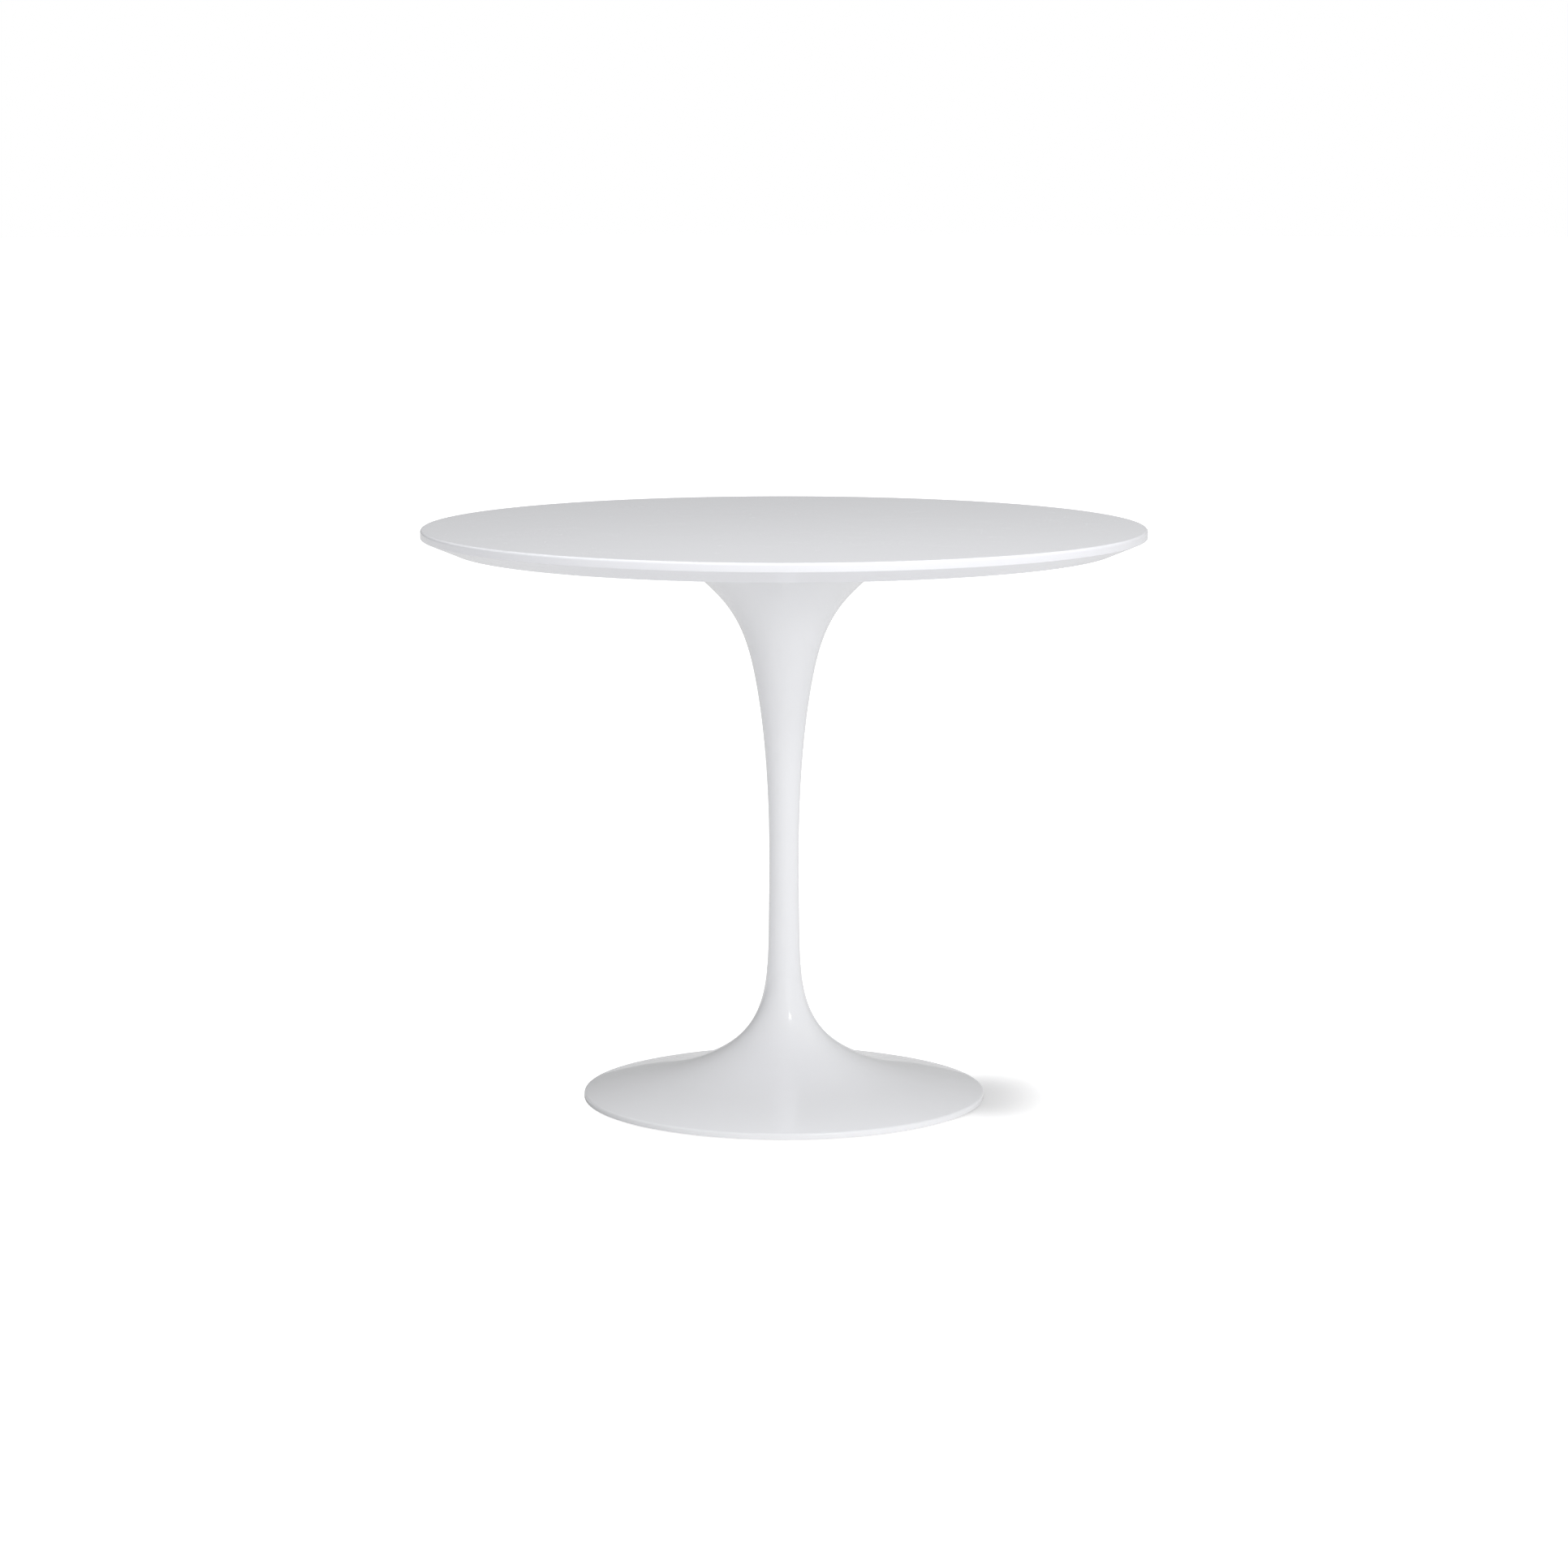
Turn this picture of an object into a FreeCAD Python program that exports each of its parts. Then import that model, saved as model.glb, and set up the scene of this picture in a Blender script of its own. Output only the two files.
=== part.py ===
"""Round pedestal table as a parametric FreeCAD model, in millimetres.

The frame has +Z up and its origin on the floor under the table's axis.
A lacquered round top sits on a hollow cast pedestal. One long threaded rod runs down the stem
and clamps the top's hub plate to a web inside the casting. A steel ballast plate fills the foot,
and four adjustable glides in the foot's rim stand on the floor.
"""
import FreeCAD, Part
import os
import Sketcher

ORIGIN = -1      # the sketch's origin, as its constraints name it
V_AXIS = -2      # the sketch's vertical axis
H_AXIS = -1      # the sketch's horizontal axis
START, END, CENTRE = 1, 2, 3
CUBIC = 3
FULL_TURN = 360
POLE_WEIGHT = 1.0
POLE_MARK = 5    # drawn radius of the outline's control points
TINY = 1e-4      # tolerance for finding an edge

HUB_SCREWS = 6
BALLAST_SCREWS = 6
GLIDES = 4
GLIDE_START = 45     # degrees from +X to the first glide

SIZES = [
    ("table_height", 733, "floor to the upper face of the top"),
    ("top_radius", 457.2, "36 inch round top"),
    ("top_thickness", 27, ""),
    ("top_edge_band", 10.7, "upright part of the top's edge, before the bevel"),
    ("top_bevel_radius", 418, "radius where the underside's bevel ends"),
    ("top_edge_round", 3, "rounding of the upper edge"),
    ("top_corner_round", 1, "rounding below the edge band"),
    ("wall", 5, "wall of the cast pedestal"),
    ("foot_radius", 256, ""),
    ("foot_bottom", 2.5, "gap between the foot's rim and the floor"),
    ("foot_rim_top", 9.5, ""),
    ("foot_rim_round", 3, "rounding of the rim's upper edge"),
    ("web_bottom", 95, "clamping web across the stem, above the foot"),
    ("web_thickness", 12, ""),
    ("web_lower_radius", 41, "edge of the web, in the middle of the wall"),
    ("web_upper_radius", 34, ""),
    ("rib_thickness", 4, "six ribs under the foot's skin"),
    ("hub_radius", 125, "plate that carries the top"),
    ("hub_thickness", 6, ""),
    ("hub_screw_circle", 105, "radius of the circle of top screws"),
    ("insert_radius", 5, "threaded insert in the top"),
    ("insert_length", 13, ""),
    ("insert_hole_depth", 14, ""),
    ("small_thread", 3, "M6 radius, in the inserts and the ballast bosses"),
    ("small_shank", 2.95, ""),
    ("small_clearance", 3.3, "clearance hole for M6"),
    ("small_washer_radius", 6, ""),
    ("small_washer_thickness", 1.6, ""),
    ("pan_head_radius", 5.5, ""),
    ("pan_head_height", 4, ""),
    ("hub_screw_length", 16, ""),
    ("socket_radius", 2.3, "hexagon socket of the M6 screws, corner radius"),
    ("socket_depth", 2.2, ""),
    ("rod_thread", 8, "M16 radius, in the coupling and the nuts"),
    ("rod_radius", 7.95, ""),
    ("rod_bottom", 64, ""),
    ("rod_top", 698, ""),
    ("rod_hole_radius", 8.5, "clearance hole for M16"),
    ("rod_chamfer", 1, ""),
    ("coupling_radius", 18, "round coupling nut welded under the hub plate"),
    ("coupling_length", 38, ""),
    ("nut_radius", 13.86, "M16 nut, corner radius of 24 mm across flats"),
    ("nut_height", 13, ""),
    ("jam_nut_height", 8, ""),
    ("clamp_washer_radius", 28, ""),
    ("clamp_washer_thickness", 6, ""),
    ("spring_washer_inner", 8.1, ""),
    ("spring_washer_outer", 13.7, ""),
    ("spring_washer_thickness", 4, ""),
    ("spring_washer_angle", 352, "split ring"),
    ("ballast_bottom", 4.5, ""),
    ("ballast_thickness", 8, ""),
    ("ballast_radius", 212, ""),
    ("ballast_hole_radius", 40, "room for a socket on the clamp nut"),
    ("ballast_screw_circle", 150, "radius of the circle of ballast screws"),
    ("ballast_boss_radius", 8, ""),
    ("ballast_boss_top", 31.5, ""),
    ("ballast_screw_length", 20, ""),
    ("ballast_hole_depth", 14, ""),
    ("flat_head_radius", 6, "countersunk M6 head"),
    ("flat_head_height", 3.3, ""),
    ("countersink_radius", 6.3, ""),
    ("glide_circle", 226, "radius of the circle of glides"),
    ("glide_boss_radius", 8, ""),
    ("glide_boss_bottom", 3.5, ""),
    ("glide_boss_top", 14.7, ""),
    ("glide_thread", 4, "M8 radius, in the boss"),
    ("glide_shank", 3.95, ""),
    ("glide_tip", 14, "upper end of the glide's screw at rest"),
    ("glide_hole_top", 14.3, ""),
    ("glide_flange_radius", 7, "flange that the pad is snapped over"),
    ("glide_flange_bottom", 0.85, ""),
    ("glide_flange_top", 2.15, ""),
    ("glide_key_radius", 2.3, "hexagon socket, corner radius"),
    ("glide_key_depth", 2.5, ""),
    ("pad_radius", 13, ""),
    ("pad_height", 3.2, ""),
    ("pad_chamfer", 0.6, ""),
    ("pad_cavity_bottom", 0.8, ""),
    ("pad_cavity_top", 2.2, ""),
    ("pad_cavity_radius", 7.05, ""),
    ("pad_key_hole_radius", 4.5, "way in for a key, from below"),
]

# Control points of the pedestal's outline between the foot's rim and the top, as radius and height.
PROFILE_POLES = [
    (218, 20), (152, 32), (94, 52), (45.5, 84), (20.3, 140), (19.7, 235),
    (18.1, 345), (23.3, 455), (37, 555), (57.7, 622), (94.7, 662),
]
MOUTH_RADIUS = 152

# Upper edge of a rib, inside the foot's wall, as radius and height.
RIB_EDGE = [(62, 72), (80, 59), (105, 46.5), (150, 31.5), (205, 19)]

UNDERSIDE = "Sizes.table_height - Sizes.top_thickness"
HUB_BOTTOM = f"{UNDERSIDE} - Sizes.hub_thickness"
BALLAST_TOP = "Sizes.ballast_bottom + Sizes.ballast_thickness"


def make_sheet(doc):
    """Write the driving sizes to a spreadsheet, one row each."""
    sheet = doc.addObject("Spreadsheet::Sheet", "Sizes")
    rows = list(SIZES)
    for number, (radius, height) in enumerate(PROFILE_POLES, start=1):
        rows.append((f"profile_radius_{number}_", radius, "control point of the pedestal's outline"))
        rows.append((f"profile_height_{number}_", height, ""))
    rows.append(("mouth_radius", MOUTH_RADIUS, "pedestal's outer radius under the top"))
    for number, (radius, height) in enumerate(RIB_EDGE, start=1):
        rows.append((f"rib_radius_{number}_", radius, "point of a rib's upper edge"))
        rows.append((f"rib_height_{number}_", height, ""))
    for row, (alias, value, note) in enumerate(rows, start=1):
        sheet.set(f"A{row}", alias)
        sheet.set(f"B{row}", str(value))
        sheet.set(f"C{row}", note)
        sheet.setAlias(f"B{row}", alias)
    doc.recompute()
    return sheet


def cell(alias):
    """Name a cell the way expressions do."""
    return f"Sizes.{alias}"


def new_body(doc, name, several=False):
    """Make an empty body; several lets it hold a group of identical fasteners."""
    body = doc.addObject("PartDesign::Body", name)
    body.Label = name
    body.AllowCompound = several
    return body


def origin_part(body, role):
    """Find one of the body's own origin planes or axes."""
    return next(item for item in body.Origin.OriginFeatures if item.Role == role)


def new_sketch(body, role, name, height=None):
    """Attach a sketch to one of the body's origin planes, raised to a height where one is given."""
    sketch = body.newObject("Sketcher::SketchObject", f"{body.Name}_{name}")
    sketch.AttachmentSupport = (origin_part(body, role), [""])
    sketch.MapMode = "FlatFace"
    if height is not None:
        sketch.setExpression("AttachmentOffset.Base.z", height)
    return sketch


def drive(sketch, kind, places, value, expression):
    """Add one dimension and bind it to an expression on the sheet."""
    index = sketch.addConstraint(Sketcher.Constraint(kind, *places, value))
    sketch.setExpression(f"Constraints[{index}]", expression)


def evaluate(sketch, expression):
    """Work out an expression on the sheet, for a sketch's first drawing."""
    value = sketch.evalExpression(expression)
    return float(getattr(value, "Value", value))


def place_point(sketch, geometry, point, across, up):
    """Hold a point at two expressions, measured from the sketch's origin."""
    for kind, axis, expression in (("DistanceX", V_AXIS, across), ("DistanceY", H_AXIS, up)):
        if expression == "0":
            sketch.addConstraint(Sketcher.Constraint("PointOnObject", geometry, point, axis))
        else:
            value = evaluate(sketch, expression)
            drive(sketch, kind, (ORIGIN, START, geometry, point), value, expression)


def draw_chain(sketch, corners, closed=True):
    """Draw straight lines through corners, each a pair of expressions, and hold every corner."""
    points = [FreeCAD.Vector(evaluate(sketch, x), evaluate(sketch, y), 0) for x, y in corners]
    count = len(points) if closed else len(points) - 1
    first = sketch.GeometryCount
    for number in range(count):
        follower = points[(number + 1) % len(points)]
        sketch.addGeometry(Part.LineSegment(points[number], follower), False)
    for number in range(first, first + count - 1):
        sketch.addConstraint(Sketcher.Constraint("Coincident", number, END, number + 1, START))
    if closed:
        sketch.addConstraint(Sketcher.Constraint("Coincident", first + count - 1, END, first, START))
    for number, (across, up) in enumerate(corners[:count]):
        place_point(sketch, first + number, START, across, up)
    if not closed:
        place_point(sketch, first + count - 1, END, *corners[-1])
    return first


def draw_circle(sketch, radius, across="0", up="0"):
    """Draw a circle whose radius and centre are expressions."""
    centre = FreeCAD.Vector(evaluate(sketch, across), evaluate(sketch, up), 0)
    value = evaluate(sketch, radius)
    index = sketch.addGeometry(Part.Circle(centre, FreeCAD.Vector(0, 0, 1), value), False)
    drive(sketch, "Radius", (index,), value, radius)
    place_point(sketch, index, CENTRE, across, up)
    return index


def draw_hexagon(sketch, corner_radius, across="0"):
    """Draw a hexagon about a point on the sketch's horizontal axis, with a corner on that axis."""
    draw_chain(sketch, [
        (f"{across} + {corner_radius}", "0"),
        (f"{across} + {corner_radius} / 2", f"{corner_radius} * sqrt(3) / 2"),
        (f"{across} - {corner_radius} / 2", f"{corner_radius} * sqrt(3) / 2"),
        (f"{across} - {corner_radius}", "0"),
        (f"{across} - {corner_radius} / 2", f"-{corner_radius} * sqrt(3) / 2"),
        (f"{across} + {corner_radius} / 2", f"-{corner_radius} * sqrt(3) / 2"),
    ])


def turn(body, name, corners, axis_at=None, angle=None):
    """Revolve a closed outline of (radius, height) corners about +Z, or about a parallel axis."""
    sketch = new_sketch(body, "XZ_Plane", name)
    if axis_at is None:
        draw_chain(sketch, corners)
        axis = "V_Axis"
    else:
        draw_chain(sketch, [(f"{axis_at} + {radius}", height) for radius, height in corners])
        bottom, top = corners[0][1], corners[-1][1]
        line = draw_chain(sketch, [(axis_at, bottom), (axis_at, top)], closed=False)
        sketch.toggleConstruction(line)
        axis = "Axis0"
    feature = body.newObject("PartDesign::Revolution", f"{body.Name}_{name}_turned")
    feature.Profile = sketch
    feature.ReferenceAxis = (sketch, [axis])
    if angle is None:
        feature.Angle = FULL_TURN
    else:
        feature.setExpression("Angle", angle)
    body.Document.recompute()
    return feature


def extrude(body, name, height, length, draw, midplane=False, plane="XY_Plane"):
    """Pad what draw puts on a raised sketch."""
    sketch = new_sketch(body, plane, name, height)
    draw(sketch)
    feature = body.newObject("PartDesign::Pad", f"{body.Name}_{name}_pad")
    feature.Profile = sketch
    feature.Midplane = midplane
    feature.setExpression("Length", length)
    body.Document.recompute()
    return feature


def cut_up(body, name, height, depth, draw):
    """Pocket what draw puts on a sketch, upwards from its height."""
    before = body.Shape.Volume
    sketch = new_sketch(body, "XY_Plane", name, height)
    draw(sketch)
    feature = body.newObject("PartDesign::Pocket", f"{body.Name}_{name}_cut")
    feature.Profile = sketch
    feature.Reversed = True
    feature.setExpression("Length", depth)
    body.Document.recompute()
    if not body.Shape.Volume < before:
        raise RuntimeError(f"{feature.Name} removes nothing")
    return feature


def groove_round(body, sketch, axis):
    """Cut a sketch's outline out of the body, all the way round one of the sketch's axes."""
    before = body.Shape.Volume
    feature = body.newObject("PartDesign::Groove", f"{sketch.Name}_groove")
    feature.Profile = sketch
    feature.ReferenceAxis = (sketch, [axis])
    feature.Angle = FULL_TURN
    body.Document.recompute()
    if not body.Shape.Volume < before:
        raise RuntimeError(f"{feature.Name} removes nothing")
    return feature


def repeat(body, originals, count):
    """Repeat features evenly round +Z."""
    pattern = body.newObject("PartDesign::PolarPattern", f"{originals[-1].Name}_round")
    pattern.Originals = originals
    pattern.Axis = (origin_part(body, "Z_Axis"), [""])
    pattern.Angle = FULL_TURN
    pattern.Occurrences = count
    body.Tip = pattern
    body.Document.recompute()
    return pattern


def round_rims(body, name, rims):
    """Fillet circular edges, each given as (radius, height, fillet's expression)."""
    for number, (radius, height, fillet_radius) in enumerate(rims):
        base = body.Tip
        found = [
            f"Edge{index}" for index, edge in enumerate(base.Shape.Edges, start=1)
            if isinstance(edge.Curve, Part.Circle)
            and abs(edge.Curve.Radius - radius) < TINY
            and abs(edge.Curve.Center.z - height) < TINY
        ]
        feature = body.newObject("PartDesign::Fillet", f"{body.Name}_{name}{number}")
        feature.Base = (base, found)
        feature.setExpression("Radius", fillet_radius)
        body.Document.recompute()


def make_tabletop(doc):
    """Lacquered round top with a bevelled underside and six blind holes for inserts."""
    body = new_body(doc, "tabletop")
    top = cell("table_height")
    band_bottom = f"{top} - {cell('top_edge_band')}"
    turn(body, "disc", [
        ("0", UNDERSIDE),
        (cell("top_bevel_radius"), UNDERSIDE),
        (cell("top_radius"), band_bottom),
        (cell("top_radius"), top),
        ("0", top),
    ])
    radius = evaluate(body, cell("top_radius"))
    round_rims(body, "edge", [
        (radius, evaluate(body, top), cell("top_edge_round")),
        (radius, evaluate(body, band_bottom), cell("top_corner_round")),
    ])
    hole = cut_up(body, "insert_hole", UNDERSIDE, cell("insert_hole_depth"),
                  lambda sketch: draw_circle(sketch, cell("insert_radius"), cell("hub_screw_circle")))
    repeat(body, [hole], HUB_SCREWS)
    return body


def make_top_inserts(doc):
    """Threaded inserts pressed into the top, as plain sleeves."""
    body = new_body(doc, "top_inserts", several=True)
    top = f"{UNDERSIDE} + {cell('insert_length')}"
    sleeve = turn(body, "sleeve", [
        (cell("small_thread"), UNDERSIDE),
        (cell("insert_radius"), UNDERSIDE),
        (cell("insert_radius"), top),
        (cell("small_thread"), top),
    ], axis_at=cell("hub_screw_circle"))
    repeat(body, [sleeve], HUB_SCREWS)
    return body


def make_hub_plate(doc):
    """Round steel plate screwed under the top, inside the pedestal's mouth."""
    body = new_body(doc, "hub_plate")
    turn(body, "plate", [
        (cell("rod_hole_radius"), HUB_BOTTOM),
        (cell("hub_radius"), HUB_BOTTOM),
        (cell("hub_radius"), UNDERSIDE),
        (cell("rod_hole_radius"), UNDERSIDE),
    ])
    circle = cell("hub_screw_circle")
    hole = cut_up(body, "screw_hole", HUB_BOTTOM, cell("hub_thickness"),
                  lambda sketch: draw_circle(sketch, cell("small_clearance"), circle))
    repeat(body, [hole], HUB_SCREWS)
    return body


def make_hub_screws(doc):
    """Pan-head socket screws from the hub plate into the inserts."""
    body = new_body(doc, "hub_screws", several=True)
    seat = f"{HUB_BOTTOM} - {cell('small_washer_thickness')}"
    head_bottom = f"{seat} - {cell('pan_head_height')}"
    tip = f"{seat} + {cell('hub_screw_length')}"
    screw = turn(body, "screw", [
        ("0", head_bottom),
        (cell("pan_head_radius"), head_bottom),
        (cell("pan_head_radius"), seat),
        (cell("small_shank"), seat),
        (cell("small_shank"), tip),
        ("0", tip),
    ], axis_at=cell("hub_screw_circle"))
    circle = cell("hub_screw_circle")
    socket = cut_up(body, "socket", head_bottom, cell("socket_depth"),
                    lambda sketch: draw_hexagon(sketch, cell("socket_radius"), circle))
    repeat(body, [screw, socket], HUB_SCREWS)
    return body


def make_hub_washers(doc):
    """Plain washers under the hub screws' heads."""
    body = new_body(doc, "hub_washers", several=True)
    bottom = f"{HUB_BOTTOM} - {cell('small_washer_thickness')}"
    washer = turn(body, "washer", [
        (cell("small_clearance"), bottom),
        (cell("small_washer_radius"), bottom),
        (cell("small_washer_radius"), HUB_BOTTOM),
        (cell("small_clearance"), HUB_BOTTOM),
    ], axis_at=cell("hub_screw_circle"))
    repeat(body, [washer], HUB_SCREWS)
    return body


def outer_poles():
    """Control points of the casting's outside, from the foot's rim up to the mouth."""
    middle = [
        (cell(f"profile_radius_{number}_"), cell(f"profile_height_{number}_"))
        for number in range(1, len(PROFILE_POLES) + 1)
    ]
    return [(cell("foot_radius"), cell("foot_rim_top")), *middle, (cell("mouth_radius"), UNDERSIDE)]


def inner_poles(outer):
    """Control points of the casting's cavity: each outer point moved inwards by the wall."""
    wall = cell("wall")
    poles = []
    for number in range(1, len(outer) - 1):
        (radius, height), before, after = outer[number], outer[number - 1], outer[number + 1]
        run, rise = f"({after[0]} - {before[0]})", f"({after[1]} - {before[1]})"
        length = f"sqrt({run} ^ 2 + {rise} ^ 2)"
        inward = f"{radius} - {wall} * {rise} / {length}"
        poles.append((inward, f"{height} + {wall} * {run} / {length}"))
    run, rise = f"({outer[0][0]} - {outer[1][0]})", f"({outer[1][1]} - {outer[0][1]})"
    length = f"sqrt({run} ^ 2 + {rise} ^ 2)"
    rim = (f"{outer[0][0]} - {wall}", f"{outer[0][1]} - {wall} * ({length} - {rise}) / {run}")
    run, rise = f"({outer[-1][0]} - {outer[-2][0]})", f"({UNDERSIDE} - {outer[-2][1]})"
    mouth = (f"{outer[-1][0]} - {wall} * sqrt({run} ^ 2 + {rise} ^ 2) / {rise}", UNDERSIDE)
    return [rim, *poles, mouth]


def draw_outline(sketch, poles):
    """Draw half the pedestal as a closed outline: one smooth curve, and straight lines to the axis."""
    points = [FreeCAD.Vector(evaluate(sketch, x), evaluate(sketch, y), 0) for x, y in poles]
    for point in points:
        sketch.addGeometry(Part.Circle(point, FreeCAD.Vector(0, 0, 1), POLE_MARK), True)
    sketch.addConstraint(Sketcher.Constraint("Weight", 0, POLE_WEIGHT))
    for number in range(1, len(points)):
        sketch.addConstraint(Sketcher.Constraint("Equal", 0, number))
    curve = sketch.addGeometry(Part.BSplineCurve(points, None, None, False, CUBIC, None, False), False)
    for number, (across, up) in enumerate(poles):
        sketch.addConstraint(Sketcher.Constraint(
            "InternalAlignment:Sketcher::BSplineControlPoint", number, CENTRE, curve, number))
        place_point(sketch, number, CENTRE, across, up)
    sketch.exposeInternalGeometry(curve)
    rim, mouth = poles[0], poles[-1]
    draw_chain(sketch, [
        mouth,
        ("0", UNDERSIDE),
        ("0", cell("foot_bottom")),
        (rim[0], cell("foot_bottom")),
        rim,
    ], closed=False)


def make_pedestal(doc):
    """Hollow one-piece casting: foot, stem and flared mouth, with a web, ribs and bosses inside."""
    body = new_body(doc, "pedestal")
    outer = outer_poles()
    sketch = new_sketch(body, "XZ_Plane", "outside")
    draw_outline(sketch, outer)
    outside = body.newObject("PartDesign::Revolution", "pedestal_outside_turned")
    outside.Profile = sketch
    outside.ReferenceAxis = (sketch, ["V_Axis"])
    outside.Angle = FULL_TURN
    doc.recompute()
    rim_radius, rim_top = evaluate(body, cell("foot_radius")), evaluate(body, cell("foot_rim_top"))
    round_rims(body, "rim", [(rim_radius, rim_top, cell("foot_rim_round"))])
    sketch = new_sketch(body, "XZ_Plane", "cavity")
    draw_outline(sketch, inner_poles(outer))
    groove_round(body, sketch, "V_Axis")
    web_top = f"{cell('web_bottom')} + {cell('web_thickness')}"
    turn(body, "web", [
        (cell("rod_hole_radius"), cell("web_bottom")),
        (cell("web_lower_radius"), cell("web_bottom")),
        (cell("web_upper_radius"), web_top),
        (cell("rod_hole_radius"), web_top),
    ])
    edge = [
        (cell(f"rib_radius_{number}_"), cell(f"rib_height_{number}_"))
        for number in range(len(RIB_EDGE), 0, -1)
    ]
    rib = extrude(body, "rib", None, cell("rib_thickness"), lambda sketch: draw_chain(sketch, [
        (cell("rib_radius_1_"), BALLAST_TOP),
        (edge[0][0], BALLAST_TOP),
        *edge,
    ]), midplane=True, plane="XZ_Plane")
    circle = cell("ballast_screw_circle")
    boss = extrude(body, "ballast_boss", BALLAST_TOP, f"{cell('ballast_boss_top')} - ({BALLAST_TOP})",
                   lambda sketch: draw_circle(sketch, cell("ballast_boss_radius"), circle))
    hole = cut_up(body, "ballast_hole", BALLAST_TOP, cell("ballast_hole_depth"),
                  lambda sketch: draw_circle(sketch, cell("small_thread"), circle))
    repeat(body, [rib, boss, hole], BALLAST_SCREWS)
    across = f"{cell('glide_circle')} * cos({GLIDE_START} deg)"
    glide_boss = extrude(body, "glide_boss", cell("glide_boss_bottom"),
                         f"{cell('glide_boss_top')} - {cell('glide_boss_bottom')}",
                         lambda sketch: draw_circle(sketch, cell("glide_boss_radius"), across, across))
    glide_hole = cut_up(body, "glide_hole", cell("glide_boss_bottom"),
                        f"{cell('glide_hole_top')} - {cell('glide_boss_bottom')}",
                        lambda sketch: draw_circle(sketch, cell("glide_thread"), across, across))
    repeat(body, [glide_boss, glide_hole], GLIDES)
    return body


def make_tie_rod(doc):
    """M16 rod down the stem, drawn without its thread."""
    body = new_body(doc, "tie_rod")
    neck = f"{cell('rod_radius')} - {cell('rod_chamfer')}"
    turn(body, "rod", [
        ("0", cell("rod_bottom")),
        (neck, cell("rod_bottom")),
        (cell("rod_radius"), f"{cell('rod_bottom')} + {cell('rod_chamfer')}"),
        (cell("rod_radius"), f"{cell('rod_top')} - {cell('rod_chamfer')}"),
        (neck, cell("rod_top")),
        ("0", cell("rod_top")),
    ])
    return body


def make_ring(doc, name, inner, outer, bottom, top, angle=None):
    """Flat ring about the table's axis."""
    body = new_body(doc, name)
    turn(body, "ring", [(inner, bottom), (outer, bottom), (outer, top), (inner, top)], angle=angle)
    return body


def make_nut(doc, name, bottom, height):
    """M16 hexagon nut about the table's axis, drawn without its thread."""
    body = new_body(doc, name)
    extrude(body, "hexagon", bottom, height, lambda sketch: draw_hexagon(sketch, cell("nut_radius")))
    cut_up(body, "bore", bottom, height, lambda sketch: draw_circle(sketch, cell("rod_thread")))
    return body


def make_ballast_plate(doc):
    """Round steel weight closing the foot, with countersunk holes."""
    body = new_body(doc, "ballast_plate")
    bottom = cell("ballast_bottom")
    turn(body, "plate", [
        (cell("ballast_hole_radius"), bottom),
        (cell("ballast_radius"), bottom),
        (cell("ballast_radius"), BALLAST_TOP),
        (cell("ballast_hole_radius"), BALLAST_TOP),
    ])
    sketch = new_sketch(body, "XZ_Plane", "countersink")
    circle = cell("ballast_screw_circle")
    neck = f"{bottom} + {cell('flat_head_height')}"
    draw_chain(sketch, [
        (circle, bottom),
        (f"{circle} + {cell('countersink_radius')}", bottom),
        (f"{circle} + {cell('small_clearance')}", neck),
        (f"{circle} + {cell('small_clearance')}", BALLAST_TOP),
        (circle, BALLAST_TOP),
    ])
    line = draw_chain(sketch, [(circle, bottom), (circle, BALLAST_TOP)], closed=False)
    sketch.toggleConstruction(line)
    groove = groove_round(body, sketch, "Axis0")
    repeat(body, [groove], BALLAST_SCREWS)
    return body


def make_ballast_screws(doc):
    """Countersunk socket screws from the ballast plate into the casting's bosses."""
    body = new_body(doc, "ballast_screws", several=True)
    bottom = cell("ballast_bottom")
    neck = f"{bottom} + {cell('flat_head_height')}"
    tip = f"{bottom} + {cell('ballast_screw_length')}"
    screw = turn(body, "screw", [
        ("0", bottom),
        (cell("flat_head_radius"), bottom),
        (cell("small_shank"), neck),
        (cell("small_shank"), tip),
        ("0", tip),
    ], axis_at=cell("ballast_screw_circle"))
    circle = cell("ballast_screw_circle")
    socket = cut_up(body, "socket", bottom, cell("socket_depth"),
                    lambda sketch: draw_hexagon(sketch, cell("socket_radius"), circle))
    repeat(body, [screw, socket], BALLAST_SCREWS)
    return body


def put_round(body, number):
    """Move a glide's piece from the table's axis to its place in the foot."""
    turned = f"{GLIDE_START} deg + {number} * {FULL_TURN // GLIDES} deg"
    body.setExpression("Placement.Base.x", f"{cell('glide_circle')} * cos({turned})")
    body.setExpression("Placement.Base.y", f"{cell('glide_circle')} * sin({turned})")


def make_glide_screw(doc, number):
    """M8 levelling screw with a flange for its pad and a socket for a key from below."""
    body = new_body(doc, f"glide_screw_{number + 1}")
    bottom, top = cell("glide_flange_bottom"), cell("glide_flange_top")
    turn(body, "screw", [
        ("0", bottom),
        (cell("glide_flange_radius"), bottom),
        (cell("glide_flange_radius"), top),
        (cell("glide_shank"), top),
        (cell("glide_shank"), cell("glide_tip")),
        ("0", cell("glide_tip")),
    ])
    cut_up(body, "socket", bottom, cell("glide_key_depth"),
           lambda sketch: draw_hexagon(sketch, cell("glide_key_radius")))
    put_round(body, number)
    return body


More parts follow.
